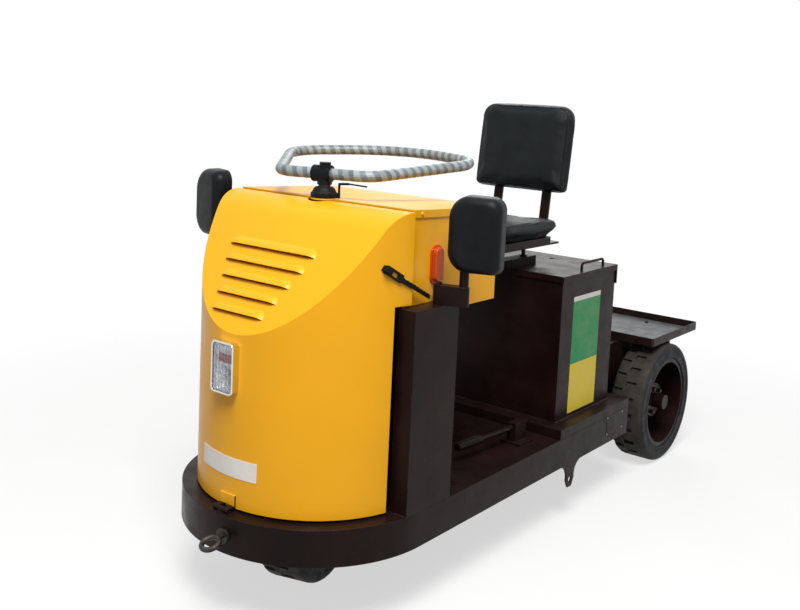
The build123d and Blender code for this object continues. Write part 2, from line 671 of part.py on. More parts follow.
def hood_latches():
    """On each side of the hood a catch block, a finger plate with its hole and a ribbed strap on the sheet."""
    catch_y = STEER_Y - LATCH_AHEAD
    catch_z = HOOD_TOP - LATCH_DROP
    ring_y = catch_y + FINGER_LENGTH
    ring_z = catch_z - FINGER_FALL
    strap_end = STEER_Y + MIRROR_BEHIND - MIRROR_ARM_HALF - MOVING_GAP
    fall = STRAP_FALL * (strap_end - ring_y)
    half = STRAP_WIDTH / 2
    hole_y = (catch_y + ring_y) / 2
    hole_z = (catch_z + ring_z) / 2
    lean = math.degrees(math.atan2(FINGER_FALL, FINGER_LENGTH))
    latches = []
    for side in SIDES:
        near = (min(side * HOOD_RADIUS * 1.2, 0), max(side * HOOD_RADIUS * 1.2, 0))
        bands = [nose_band(HOOD_RADIUS, thick, strap_end + 1, COLUMN_TOP, HOOD_TOP)
                 for thick in (STRAP_THICK, 1.5 * STRAP_THICK, 3.5 * STRAP_THICK)]
        strap = side_prism([(ring_y - half, ring_z + 1.5 * half), (strap_end, ring_z - fall + half),
                            (strap_end, ring_z - fall - half), (ring_y - half, ring_z - half)], near[0], near[1])
        turned = Pos(0, hole_y, hole_z) * Rot(-lean, 0, 0)
        length = math.hypot(FINGER_LENGTH, FINGER_FALL)
        plate = turned * block(near, (-length / 2, length / 2), (-FINGER_WIDE / 2, FINGER_WIDE / 2))
        plate -= turned * block(near, (-FINGER_HOLE, FINGER_HOLE), (-FINGER_HOLE / 2, FINGER_HOLE / 2))
        corner = turned * block(near, (length / 2 - half, length), (half, FINGER_WIDE))
        corner += turned * block(near, (length / 2 - half, length), (-FINGER_WIDE, -half))
        catch = Pos(0, catch_y, catch_z) * Rot(-lean, 0, 0)
        catch = catch * block(near, (-LATCH_BLOCK / 2, LATCH_BLOCK / 2), (-LATCH_BLOCK / 2, LATCH_BLOCK / 2))
        latch = (bands[0] & strap) + (bands[1] & (plate - corner)) + (bands[2] & catch)
        for rib in range(STRAP_RIBS):
            along = (rib + 1) / (STRAP_RIBS + 1)
            rib_y = ring_y + along * (strap_end - ring_y)
            rib_z = ring_z - along * fall
            latch += bands[1] & block(near, (rib_y - half / 3, rib_y + half / 3), (rib_z - half, rib_z + half))
        latches.append(latch)
    return Compound(latches)


def steering_bridge():
    """Arch over the steered wheel that carries the head tube."""
    high = BRIDGE_LOW + BRIDGE_THICK
    deep = (STEER_Y - BRIDGE_HALF, STEER_Y + BRIDGE_HALF)
    bridge = block((-BRIDGE_LEG_OUT, BRIDGE_LEG_OUT), deep, (FLOOR_Z, high))
    bridge = fillet(bridge.edges().filter_by(Axis.Y).group_by(Axis.Z)[-1], 2 * BRIDGE_THICK)
    opening = block((-BRIDGE_LEG_IN, BRIDGE_LEG_IN), (deep[0] - 1, deep[1] + 1), (FLOOR_Z - 1, BRIDGE_LOW))
    opening = fillet(opening.edges().filter_by(Axis.Y).group_by(Axis.Z)[-1], BRIDGE_THICK)
    bridge -= opening
    bridge += rod_z(HEAD_RADIUS, 0, STEER_Y, (BRIDGE_LOW, HEAD_TOP))
    return bridge - rod_z(SHAFT_RADIUS + RUNNING_FIT, 0, STEER_Y, (BRIDGE_LOW - 1, HEAD_TOP + 1))


def steering_boot():
    """Rubber boot round the steering neck: a fluted ring on the cover, a dome and an ear for the lever."""
    base = CONSOLE_TOP + COVER_THICK
    inner = NECK_RADIUS + SHEET
    edge = BOOT_RADIUS - SHEET
    steps = [(inner, base), (BOOT_RADIUS, base), (BOOT_RADIUS, base + BOOT_RING), (edge, base + BOOT_RING + SHEET),
             (BOOT_NECK + SHEET, BOOT_TOP - SHEET), (BOOT_NECK, BOOT_TOP), (inner, BOOT_TOP)]
    section = make_face(Plane.XZ * Polyline(*steps, close=True))
    boot = revolve(section, Axis.Z)
    for flute in range(BOOT_FLUTES):
        turn = math.radians(LEVER_AIM) + 2 * math.pi * (flute + 0.5) / BOOT_FLUTES
        reach = BOOT_RADIUS + BOOT_FLUTE_RADIUS / 2
        boot -= rod_z(BOOT_FLUTE_RADIUS, reach * math.cos(turn), reach * math.sin(turn), (base - 1, BOOT_TOP))
    ear = block((BOOT_RADIUS - SHEET, LEVER_OUT + SHEET), (-2 * SHEET, 2 * SHEET), (base, base + BOOT_RING))
    return Pos(0, STEER_Y, 0) * (boot + Rot(0, 0, LEVER_AIM) * ear)


def direction_lever():
    """Small lever on the ear of the boot: an upright pin, a thicker grip and a thin wire that droops a little."""
    low = CONSOLE_TOP + COVER_THICK + BOOT_RING
    high = HOOP_Z - HOOP_TUBE - MOVING_GAP - LEVER_WIRE
    grip = (LEVER_OUT + 0.35 * (LEVER_REACH - LEVER_OUT), 0, high - LEVER_WIRE / 2)
    lever = rod_z(1.5 * LEVER_WIRE, LEVER_OUT, 0, (low, high))
    lever += rod_between(1.5 * LEVER_WIRE, (LEVER_OUT, 0, high - LEVER_WIRE), grip)
    lever += rod_between(LEVER_WIRE, grip, (LEVER_REACH, 0, high - 3 * LEVER_WIRE))
    return Pos(0, STEER_Y, 0) * Rot(0, 0, LEVER_AIM) * lever


def fork():
    """Fork of the steered wheel: crown, two tapered legs and the axle pin."""
    axle_z = TYRE_RADIUS
    crown = block((-FORK_OUT, FORK_OUT), (-FORK_TOP_HALF, FORK_TOP_HALF), (CROWN_LOW, CROWN_HIGH))
    crown = fillet(crown.edges().filter_by(Axis.Z), CROWN_THICK)
    shape = crown
    outline = [(-FORK_TOP_HALF + CROWN_THICK, CROWN_HIGH), (FORK_TOP_HALF - CROWN_THICK, CROWN_HIGH),
               (FORK_FOOT_RADIUS, axle_z), (-FORK_FOOT_RADIUS, axle_z)]
    for side in SIDES:
        near = side * FORK_IN
        far = side * FORK_OUT
        shape += side_prism(outline, min(near, far), max(near, far))
        shape += rod_x(FORK_FOOT_RADIUS, (near, far), 0, axle_z)
        shape += rod_x(AXLE_PIN * 1.6, (far, far + side * AXLE_PIN * 0.7), 0, axle_z)
    shape += rod_x(AXLE_PIN, (-FORK_OUT, FORK_OUT), 0, axle_z)
    return steered(shape)


def steering_shaft():
    """Shaft on the fork crown, stepped to a slimmer neck above the head tube."""
    step = HEAD_TOP + 2 * MOVING_GAP
    shaft = rod_z(SHAFT_RADIUS, 0, 0, (CROWN_HIGH, step))
    shaft += rod_z(NECK_RADIUS, 0, 0, (step, NECK_TOP))
    shaft += rod_z(SHAFT_RADIUS + 8, 0, 0, (HEAD_TOP + SEAT_GAP, step))
    return steered(shaft)


def hoop_path():
    """Closed plan line of the steering hoop, its apex towards the seat."""
    points = [(-HOOP_FRONT, 0), (HOOP_FRONT, 0), (HOOP_WIDE, HOOP_WIDE_AT), (0, HOOP_APEX),
              (-HOOP_WIDE, HOOP_WIDE_AT)]
    rounds = [HOOP_ROUND_FRONT, HOOP_ROUND_FRONT, HOOP_ROUND_WIDE, HOOP_ROUND_APEX, HOOP_ROUND_WIDE]
    return FilletPolyline(*points, radius=rounds, close=True)


def hoop_solid(radius):
    """Tube of the hoop in its tilted plane, about the steering axis."""
    tilted = Plane(origin=(0, 0, HOOP_Z), x_dir=(1, 0, 0), z_dir=(0, -math.sin(math.radians(HOOP_TILT)),
                                                                  math.cos(math.radians(HOOP_TILT))))
    path = tilted * hoop_path()
    start = path @ 0
    along = path % 0
    return sweep(Plane(origin=start, z_dir=along) * Circle(radius), path=path)


def steering_hoop():
    """Steering hoop, a bent tube gripped by the clamp at its front."""
    return steered(hoop_solid(HOOP_TUBE))


def hoop_clamp():
    """Clamp on the neck: an upright sleeve crossed by a sleeve along the front of the hoop."""
    upright = rod_z(CLAMP_RADIUS, 0, 0, (BOOT_TOP + MOVING_GAP, HOOP_Z + HOOP_TUBE + CLAMP_WALL))
    across = rod_x(HOOP_TUBE + CLAMP_WALL, (-CLAMP_REACH, CLAMP_RADIUS), 0, HOOP_Z)
    cap = rod_z(HOOP_TUBE, 0, 0, (HOOP_Z, HOOP_Z + 2 * HOOP_TUBE))
    clamp = upright + across + cap
    clamp -= rod_x(HOOP_TUBE, (-CLAMP_REACH - 1, CLAMP_REACH), 0, HOOP_Z)
    clamp -= rod_z(NECK_RADIUS, 0, 0, (BOOT_TOP, NECK_TOP))
    return steered(clamp)


def tyre():
    """Solid tyre about the X axis, narrower at its beads where the rim flanges hold it."""
    half = TYRE_WIDTH / 2
    tall = TYRE_RADIUS - BEAD_RADIUS
    section = Rectangle(TYRE_WIDTH, tall)
    section = fillet(section.vertices().group_by(Axis.Y)[-1], TYRE_SHOULDER)
    body = revolve(Plane.XZ * Pos(0, BEAD_RADIUS + tall / 2) * section, Axis.X)
    for side in SIDES:
        body -= ring_x(BEAD_RADIUS + FLANGE_HEIGHT, BEAD_RADIUS - 1, *sorted((side * (half - BEAD_INSET), side * (half + 1))))
    return body


def rim_barrel():
    """Barrel of a rim with a flange at each edge."""
    edge = TYRE_WIDTH / 2 - BEAD_INSET
    barrel = ring_x(BEAD_RADIUS, BEAD_RADIUS - RIM_WALL, -edge - FLANGE_THICK, edge + FLANGE_THICK)
    for side in SIDES:
        span = sorted((side * edge, side * (edge + FLANGE_THICK)))
        barrel += ring_x(BEAD_RADIUS + FLANGE_HEIGHT, BEAD_RADIUS - RIM_WALL, *span)
    return barrel


def front_rim():
    """Rim of the steered wheel: a pierced disc and a hub that runs on the axle pin."""
    hub_half = FORK_IN - SEAT_GAP * 20
    rim = rim_barrel() + rod_x(BEAD_RADIUS - 1, (-DISC_THICK / 2, DISC_THICK / 2), 0, 0)
    rim += rod_x(FRONT_HUB_RADIUS, (-hub_half, hub_half), 0, 0)
    for hole in range(HAND_HOLES):
        turn = 2 * math.pi * hole / HAND_HOLES
        y = HAND_HOLE_CIRCLE * math.cos(turn)
        z = HAND_HOLE_CIRCLE * math.sin(turn)
        rim -= rod_x(HAND_HOLE_RADIUS, (-DISC_THICK, DISC_THICK), y, z)
    return rim - rod_x(AXLE_PIN + RUNNING_FIT, (-hub_half - 1, hub_half + 1), 0, 0)


def rear_rim(side):
    """Rear rim about the X axis: deep dish, hub with five nuts and a round cap."""
    disc = -REAR_DISC_INSET
    rim = rim_barrel() + rod_x(BEAD_RADIUS - 1, (disc - DISC_THICK, disc), 0, 0)
    rim += rod_x(REAR_HUB_RADIUS, (HUB_IN, REAR_HUB_FACE), 0, 0)
    rim += rod_x(CAP_RADIUS, (HUB_IN, CAP_FACE), 0, 0)
    for nut in range(NUT_COUNT):
        turn = 2 * math.pi * (nut + 0.5) / NUT_COUNT
        spot = Pos(REAR_HUB_FACE + NUT_HEIGHT / 2, NUT_CIRCLE * math.cos(turn), NUT_CIRCLE * math.sin(turn))
        rim += spot * Rot(0, 90, 0) * extrude(RegularPolygon(NUT_RADIUS, 6), NUT_HEIGHT / 2 + 1, both=True)
    rim -= rod_x(SPINDLE_RADIUS + RUNNING_FIT, (HUB_IN - 1, REAR_HUB_FACE), 0, 0)
    return rim if side > 0 else Rot(0, 0, 180) * rim


def at_rear(shape, side):
    """Place a wheel piece at one rear wheel."""
    return Pos(side * REAR_TRACK / 2, 0, TYRE_RADIUS) * shape


def rear_axle():
    """Axle tube with the gear case, brake back plates, spring pads and the two spindles."""
    z = TYRE_RADIUS
    spindle_end = REAR_TRACK / 2 + REAR_HUB_FACE - 2 * SHEET
    axle = rod_x(AXLE_RADIUS, (-AXLE_HALF, AXLE_HALF), 0, z)
    axle += rod_x(DIFF_RADIUS, (-DIFF_HALF, DIFF_HALF), 0, z)
    axle += rod_x(SPINDLE_RADIUS, (-spindle_end, spindle_end), 0, z)
    for side in SIDES:
        axle += rod_x(BACKPLATE_RADIUS, (side * AXLE_HALF, side * (AXLE_HALF + PLATE)), 0, z)
        axle += block((side * RAIL_IN, side * RAIL_OUT), (SPRING_MIDDLE - AXLE_RADIUS, SPRING_MIDDLE + AXLE_RADIUS),
                      (SPRING_LOW_Z - PLATE, z - AXLE_RADIUS / 2))
        axle -= spring_leaf(side, 0, SPRING_HALF_SPAN)
    return axle


def drive_motor():
    """Drive motor on the front of the gear case, with a fin at each band."""
    start = -math.sqrt(DIFF_RADIUS ** 2 - DIFF_HALF ** 2)
    motor = rod_y(MOTOR_RADIUS, 0, (MOTOR_END, start - 20), TYRE_RADIUS)
    motor += rod_y(MOTOR_RADIUS * 0.6, 0, (start - 20, 0), TYRE_RADIUS)
    motor -= rod_x(DIFF_RADIUS, (-DIFF_HALF, DIFF_HALF), 0, TYRE_RADIUS)
    y = MOTOR_END + MOTOR_FIN_GAP / 2
    while y < start - 30:
        motor += rod_y(MOTOR_RADIUS + 5, 0, (y, y + 6), TYRE_RADIUS)
        y += MOTOR_FIN_GAP
    return motor


def spring_leaf(side, level, half_length):
    """One leaf of a spring, an arc band of the given level below the top leaf."""
    rise = SPRING_EYE_Z - SPRING_LOW_Z
    radius = (SPRING_HALF_SPAN ** 2 + rise ** 2) / (2 * rise)
    centre_z = SPRING_LOW_Z + radius
    reach = (side * RAIL_IN + side * SHEET, side * RAIL_OUT - side * SHEET)
    top = radius + level * LEAF_THICK
    band = rod_x(top + LEAF_THICK, reach, SPRING_MIDDLE, centre_z)
    band -= rod_x(top, (reach[0] - side, reach[1] + side), SPRING_MIDDLE, centre_z)
    window = block(reach, (SPRING_MIDDLE - half_length, SPRING_MIDDLE + half_length), (0, centre_z))
    return band & window


def leaf_springs():
    """Leaf spring under each end of the axle, with an eye at both ends."""
    springs = []
    for side in SIDES:
        spring = spring_leaf(side, 0, SPRING_HALF_SPAN)
        for level, half_length in enumerate(LEAF_HALF_LENGTHS):
            spring += spring_leaf(side, level, half_length)
        reach = (side * (RAIL_IN + SHEET), side * (RAIL_OUT - SHEET))
        for end in SIDES:
            spring += rod_x(EYE_OUTER, reach, SPRING_MIDDLE + end * SPRING_HALF_SPAN, SPRING_EYE_Z)
        for end in SIDES:
            spring -= rod_x(EYE_PIN, (0, side * HALF_WIDTH), SPRING_MIDDLE + end * SPRING_HALF_SPAN, SPRING_EYE_Z)
        springs.append(spring)
    return Compound(springs)


def tail_lamps():
    """Tail lamp at each side of the end plate."""
    lamps = []
    for side in SIDES:
        lamp = block((side * (LAMP_X - LAMP_HALF), side * (LAMP_X + LAMP_HALF)),
                     (FRAME_REAR + END_THICK, FRAME_REAR + END_THICK + TAIL_LAMP_DEEP),
                     (TAIL_LAMP_LOW, TAIL_LAMP_HIGH))
        lamps.append(fillet(lamp.edges().filter_by(Axis.Y), LAMP_HALF / 3))
    return Compound(lamps)


def drive_cover():
    """Sheet cover over the motor and the rails, open below and to the rear."""
    cover = block((-COVER_HALF, COVER_HALF), (DRIVE_COVER_FRONT, FRAME_REAR), (DECK_Z, TRAY_FLOOR_Z))
    inside = COVER_HALF - SHEET
    return cover - block((-inside, inside), (DRIVE_COVER_FRONT + SHEET, FRAME_REAR + 1),
                         (DECK_Z - 1, TRAY_FLOOR_Z - SHEET))


def equipment_tray():
    """Shallow tray on the drive cover with a lip all round."""
    tray = block((-TRAY_HALF, TRAY_HALF), (TRAY_FRONT, TRAY_REAR), (TRAY_FLOOR_Z, TRAY_FLOOR_Z + TRAY_LIP))
    tray = fillet(tray.edges().filter_by(Axis.Z), 3 * SHEET)
    pocket = block((-TRAY_HALF + SHEET, TRAY_HALF - SHEET), (TRAY_FRONT + SHEET, TRAY_REAR - SHEET),
                   (TRAY_FLOOR_Z + SHEET, TRAY_FLOOR_Z + TRAY_LIP + 1))
    return tray - fillet(pocket.edges().filter_by(Axis.Z), 2 * SHEET)


def mirror_pivot(side):
    """Middle of the column on which the arm of a mirror stands."""
    return side * (HALF_WIDTH - COLUMN_WIDTH / 2 + SHEET), STEER_Y + MIRROR_BEHIND


def mirror_place(side):
    """Foot of a mirror neck: outboard of the column, further forward on the right side."""
    return side * (mirror_pivot(1)[0] + MIRROR_OUT), STEER_Y + MIRROR_NECKS[0 if side > 0 else 1]


def mirror_neck(side):
    """Round neck from the height of the column up into the mirror's head."""
    x, y = mirror_place(side)
    return rod_z(MIRROR_NECK, x, y, (COLUMN_TOP, COLUMN_TOP + MIRROR_RISE + MIRROR_NECK))


def mirror_arms():
    """Arm of each mirror on its column, with the neck up to the head."""
    arms = []
    z = (COLUMN_TOP, COLUMN_TOP + MIRROR_ARM_TALL)
    for side in SIDES:
        start = mirror_pivot(side)
        end = mirror_place(side)
        swing = math.degrees(math.atan2(end[1] - start[1], end[0] - start[0]))
        middle = Pos((start[0] + end[0]) / 2, (start[1] + end[1]) / 2, (z[0] + z[1]) / 2)
        length = math.hypot(end[0] - start[0], end[1] - start[1])
        arm = middle * Rot(0, 0, swing) * Box(length, 2 * MIRROR_ARM_HALF, MIRROR_ARM_TALL)
        arm += rod_z(MIRROR_ARM_HALF, start[0], start[1], z)
        arm += rod_z(MIRROR_ARM_HALF, end[0], end[1], z)
        arms.append(arm + mirror_neck(side))
    return Compound(arms)


def mirror_outline(side, shrink, y):
    """Bowed outline of a mirror, rounder at its right-hand corners, on an upright plane that faces forwards."""
    place = mirror_place(side)
    wide = MIRROR_WIDE / 2 - shrink
    tall = MIRROR_TALL / 2 - shrink
    middle_z = COLUMN_TOP + MIRROR_RISE + MIRROR_TALL / 2
    face = Plane(origin=(place[0] + side * MIRROR_OFFSET, place[1] + y, middle_z), x_dir=(1, 0, 0), z_dir=(0, -1, 0))
    flat = wide - MIRROR_BOW
    level = tall - MIRROR_BOW
    edges = ThreePointArc((-flat, -level), (0, -tall), (flat, -level))
    edges += ThreePointArc((flat, -level), (wide, 0), (flat, level))
    edges += ThreePointArc((flat, level), (0, tall), (-flat, level))
    edges += ThreePointArc((-flat, level), (-wide, 0), (-flat, -level))
    outline = make_face(edges)
    outline = fillet(outline.vertices().group_by(Axis.X)[0], MIRROR_ROUNDS[0] - shrink)
    outline = fillet(outline.vertices().group_by(Axis.X)[-1], MIRROR_ROUNDS[1] - shrink)
    return face * outline


def mirror_heads():
    """Mirror shells, tapered and domed to the front and hollow to the rear where the glass sits."""
    heads = []
    half = MIRROR_DEEP / 2
    for side in SIDES:
        head = extrude(mirror_outline(side, 0, half), MIRROR_DEEP, taper=MIRROR_TAPER)
        head = fillet(head.edges().group_by(Axis.Y)[0], MIRROR_ROUNDS[1] / 2)
        head -= extrude(mirror_outline(side, MIRROR_RIM, half + 1), 2 * GLASS_THICK + 1)
        heads.append(head - mirror_neck(side))
    return Compound(heads)


def mirror_glasses():
    """Mirror glass of each mirror, facing the rear."""
    rear = MIRROR_DEEP / 2 - GLASS_THICK
    return Compound([extrude(mirror_outline(side, MIRROR_RIM, rear), GLASS_THICK) for side in SIDES])


def seat_box():
    """Battery box under the seat, open at the top, with the fixed knuckles of the lid hinges."""
    box = block((-BOX_HALF, BOX_HALF), (BOX_FRONT, BOX_REAR), (DECK_Z, BOX_TOP))
    inside = BOX_HALF - SHEET
    box -= block((-inside, inside), (BOX_FRONT + SHEET, BOX_REAR - SHEET), (DECK_Z + SHEET, BOX_TOP + 1))
    for y in LID_HINGE_YS:
        for end in SIDES:
            span = (y + end * (LID_KNUCKLE + KNUCKLE_GAP), y + end * 2 * LID_KNUCKLE)
            box += rod_y(HINGE_RADIUS, LID_HINGE_X, span, LID_HINGE_Z)
            box += block((LID_HINGE_X, -BOX_HALF), span, (LID_HINGE_Z - 2 * HINGE_RADIUS, LID_HINGE_Z - HINGE_RADIUS / 2))
        box += rod_y(HINGE_PIN, LID_HINGE_X, (y - 2 * LID_KNUCKLE, y + 2 * LID_KNUCKLE), LID_HINGE_Z)
    return box


def battery():
    """Traction battery, a plain block on the floor of the seat box."""
    half = BOX_HALF - BATTERY_GAP
    return block((-half, half), (BOX_FRONT + BATTERY_GAP, BOX_REAR - BATTERY_GAP), (DECK_Z + SHEET, DECK_Z + SHEET + BATTERY_TALL))


def seat_lid():
    """Lid of the seat box with turned-down edges, deeper at the rear, its hinge knuckles and a lead hole."""
    gap = LID_SIDE_GAP
    outer = block((-BOX_HALF, BOX_HALF + gap + SHEET), (BOX_FRONT - gap - SHEET, BOX_REAR + gap + SHEET),
                  (LID_LOW - LID_REAR_SKIRT, LID_TOP))
    outer -= block((-BOX_HALF - 1, BOX_HALF + gap), (BOX_FRONT - gap, BOX_REAR + gap), (FLOOR_Z, LID_LOW))
    outer -= block((-BOX_HALF - 1, BOX_HALF + gap + SHEET + 1), (BOX_FRONT - gap - SHEET - 1, BOX_REAR + gap),
                   (FLOOR_Z, LID_LOW - LID_SKIRT))
    for y in LID_HINGE_YS:
        span = (y - LID_KNUCKLE, y + LID_KNUCKLE)
        outer += rod_y(HINGE_RADIUS, LID_HINGE_X, span, LID_HINGE_Z)
        outer += block((LID_HINGE_X, -BOX_HALF), span, (LID_LOW, LID_TOP))
        outer -= rod_y(HINGE_PIN + RUNNING_FIT, LID_HINGE_X, (y - 2 * LID_KNUCKLE, y + 2 * LID_KNUCKLE), LID_HINGE_Z)
    return outer - rod_z(LID_HOLE, LID_HOLE_X, LID_HOLE_Y, (LID_LOW - 1, LID_TOP + 1))


def lid_handle():
    """Bent wire pull on the near side of the lid."""
    x = BOX_HALF - HANDLE_INSET
    y = (BOX_FRONT + BOX_REAR) / 2 + HANDLE_BEHIND
    high = LID_TOP + HANDLE_RISE
    path = FilletPolyline((x, y - HANDLE_HALF, LID_TOP), (x, y - HANDLE_HALF, high), (x, y + HANDLE_HALF, high),
                          (x, y + HANDLE_HALF, LID_TOP), radius=2.5 * HANDLE_WIRE)
    return sweep(Plane(origin=path @ 0, z_dir=path % 0) * Circle(HANDLE_WIRE), path=path)


def leaned(shape):
    """Lean a piece of the back about the lower end of its bars."""
    return Pos(0, BACK_REAR, SEAT_PLATE_Z) * Rot(-BACK_LEAN, 0, 0) * Pos(0, -BACK_REAR, -SEAT_PLATE_Z) * shape


def seat_frame():
    """Carrier of the seat: two slides on the lid, four studs, a plate, and two flat bars up to the backrest."""
    frame = block((-SEAT_PLATE_HALF, SEAT_PLATE_HALF), (SLIDE_FRONT, BACK_REAR + BAR_THICK), (SEAT_PLATE_Z, PAN_LOW))
    for side in SIDES:
        frame += block((side * (SLIDE_X - SLIDE_HALF), side * (SLIDE_X + SLIDE_HALF)), (SLIDE_FRONT, SLIDE_REAR),
                       (LID_TOP, LID_TOP + SLIDE_TALL))
        for y in STUD_YS:
            frame += rod_z(STUD_RADIUS, side * SLIDE_X, y, (LID_TOP, SEAT_PLATE_Z))
            frame += rod_z(2 * STUD_RADIUS, side * SLIDE_X, y, (LID_TOP, LID_TOP + SLIDE_TALL + SHEET))
        bar = block((side * BAR_X - BAR_WIDE / 2, side * BAR_X + BAR_WIDE / 2), (BACK_REAR, BACK_REAR + BAR_THICK),
                    (SEAT_PLATE_Z, BACK_LOW + BAR_LAP))
        frame += leaned(bar)
    return frame


def seat_pan():
    """Shallow pan under the cushion."""
    pan = block((-CUSHION_HALF + PAN_INSET, CUSHION_HALF - PAN_INSET),
                (CUSHION_FRONT + PAN_INSET, CUSHION_REAR - PAN_INSET), (PAN_LOW, CUSHION_LOW))
    return fillet(pan.edges().filter_by(Axis.Z), CUSHION_ROUND - PAN_INSET)


def seat_cushion():
    """Seat cushion with rounded corners."""
    pad = block((-CUSHION_HALF, CUSHION_HALF), (CUSHION_FRONT, CUSHION_REAR), (CUSHION_LOW, CUSHION_LOW + CUSHION_THICK))
    pad = fillet(pad.edges().filter_by(Axis.Z), CUSHION_ROUND)
    return fillet(pad.edges().group_by(Axis.Z)[-1], CUSHION_THICK / 3)


def backrest():
    """Backrest pad, more rounded at its top corners."""
    pad = block((-BACK_HALF, BACK_HALF), (BACK_REAR - BACK_THICK, BACK_REAR), (BACK_LOW, BACK_LOW + BACK_TALL))
    pad = fillet(pad.edges().filter_by(Axis.Y).group_by(Axis.Z)[-1], BACK_ROUND_TOP)
    pad = fillet(pad.edges().filter_by(Axis.Y).group_by(Axis.Z)[0], BACK_ROUND_LOW)
    return leaned(fillet(pad.edges().group_by(Axis.Y)[0], BACK_THICK / 3))


def tow_eye():
    """Eye bolt in the nose of the skirt, its ring drooping a little."""
    eye_z = FLOOR_Z - EYE_DROP
    ring = Pos(EYE_X, NOSE_TIP - EYE_REACH, eye_z) * Rot(EYE_DROOP, 0, 0) * Torus(EYE_RING, EYE_WIRE)
    shank = rod_y(EYE_WIRE, EYE_X, (NOSE_TIP - EYE_REACH + EYE_RING, NOSE_TIP + PLATE), eye_z + EYE_WIRE)
    washer = rod_y(3 * EYE_WIRE, EYE_X, (NOSE_TIP - PLATE / 2, NOSE_TIP + PLATE), eye_z + EYE_WIRE)
    body = nose_prism(HALF_WIDTH, DECK_REAR, SKIRT_Z, FLOOR_Z)
    return ring + (shank + washer - body)


def park_brake_lever():
    """Hand lever of the parking brake, low at the left of the footwell, on its bracket."""
    turn = math.radians(BRAKE_TURN)
    x = HALF_WIDTH - BRAKE_INSET
    z = FLOOR_Z + BRAKE_RISE
    reach = BRAKE_LENGTH - GRIP_LENGTH
    grip = (x - reach * math.sin(turn), BRAKE_Y - reach * math.cos(turn), z)
    end = (x - BRAKE_LENGTH * math.sin(turn), BRAKE_Y - BRAKE_LENGTH * math.cos(turn), z)
    lever = rod_between(BRAKE_ROD, (x, BRAKE_Y, z), end) + rod_between(GRIP_RADIUS, grip, end)
    cheek = (x - BRAKE_CHEEK, x + BRAKE_CHEEK)
    lever += block(cheek, (BRAKE_Y - 2 * BRAKE_CHEEK, BRAKE_Y + 2 * BRAKE_CHEEK), (FLOOR_Z, z + BRAKE_CHEEK))
    foot = (x - BRAKE_FOOT, x + BRAKE_FOOT)
    return lever + block(foot, (BRAKE_Y - BRAKE_FOOT, BRAKE_Y + BRAKE_FOOT), (FLOOR_Z, FLOOR_Z + PLATE))


def pedal(x, wide):
    """Pedal pad, its front edge the higher, on its arm and floor bracket."""
    high = FLOOR_Z + PEDAL_RISE
    foot_y = PEDAL_Y - PEDAL_FOOT_LONG / 2
    pad = Pos(x, PEDAL_Y, high) * Rot(-PEDAL_LEAN, 0, 0) * Box(wide, PEDAL_LONG, PLATE)
    pad += rod_between(PEDAL_ROD, (x, foot_y, FLOOR_Z + PEDAL_FOOT_TALL / 2), (x, PEDAL_Y, high))
    foot = (PEDAL_Y - PEDAL_FOOT_LONG, PEDAL_Y)
    return pad + block((x - PEDAL_FOOT, x + PEDAL_FOOT), foot, (FLOOR_Z, FLOOR_Z + PEDAL_FOOT_TALL))


def floor_pedals():
    """Brake and drive pedals."""
    return Compound([pedal(x, wide) for x, wide in PEDALS])


def front_wheel_piece(shape):
    """Place a piece of the steered wheel on its axle pin."""
    return steered(Pos(0, 0, TYRE_RADIUS) * shape)


NODES = {
    "chassis_pan": chassis_pan(),
    "rear_deck": rear_deck(),
    "column_left": column(1),
    "column_right": column(-1),
    "firewall": firewall(),
    "console": console(),
    "console_cover": console_cover(),
    "side_markers": side_markers(),
    "steering_bridge": steering_bridge(),
    "steering_boot": steering_boot(),
    "direction_lever": direction_lever(),
    "mirror_arms": mirror_arms(),
    "mirror_heads": mirror_heads(),
    "mirror_glasses": mirror_glasses(),
    "seat_box": seat_box(),
    "battery": battery(),
    "park_brake_lever": park_brake_lever(),
    "floor_pedals": floor_pedals(),
    "tow_eye": tow_eye(),
    "rear_frame": rear_frame(),
    "drive_cover": drive_cover(),
    "equipment_tray": equipment_tray(),
    "rear_axle": rear_axle(),
    "drive_motor": drive_motor(),
    "leaf_springs": leaf_springs(),
    "tail_lamps": tail_lamps(),
    "fork": fork(),
    "steering_shaft": steering_shaft(),
    "hoop_clamp": hoop_clamp(),
    "steering_hoop": steering_hoop(),
    "front_rim": front_wheel_piece(front_rim()),
    "front_tyre": front_wheel_piece(tyre()),
    "rear_rim_left": at_rear(rear_rim(1), 1),
    "rear_tyre_left": at_rear(tyre(), 1),
    "rear_rim_right": at_rear(rear_rim(-1), -1),
    "rear_tyre_right": at_rear(tyre(), -1),
    "hood": hood(),
    "headlamp": headlamp(),
    "headlamp_lens": headlamp_lens(),
    "hood_latches": hood_latches(),
    "seat_lid": seat_lid(),
    "lid_handle": lid_handle(),
    "seat_frame": seat_frame(),
    "seat_pan": seat_pan(),
    "seat_cushion": seat_cushion(),
    "backrest": backrest(),
}

os.makedirs("parts", exist_ok=True)
for name, shape in NODES.items():
    export_step(Pos(0, TUG_SHIFT, 0) * shape, f"parts/{name}.step")
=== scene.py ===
import json
import math
from contextlib import contextmanager

import bmesh
import bpy
from mathutils import Matrix, Vector
from mathutils.bvhtree import BVHTree

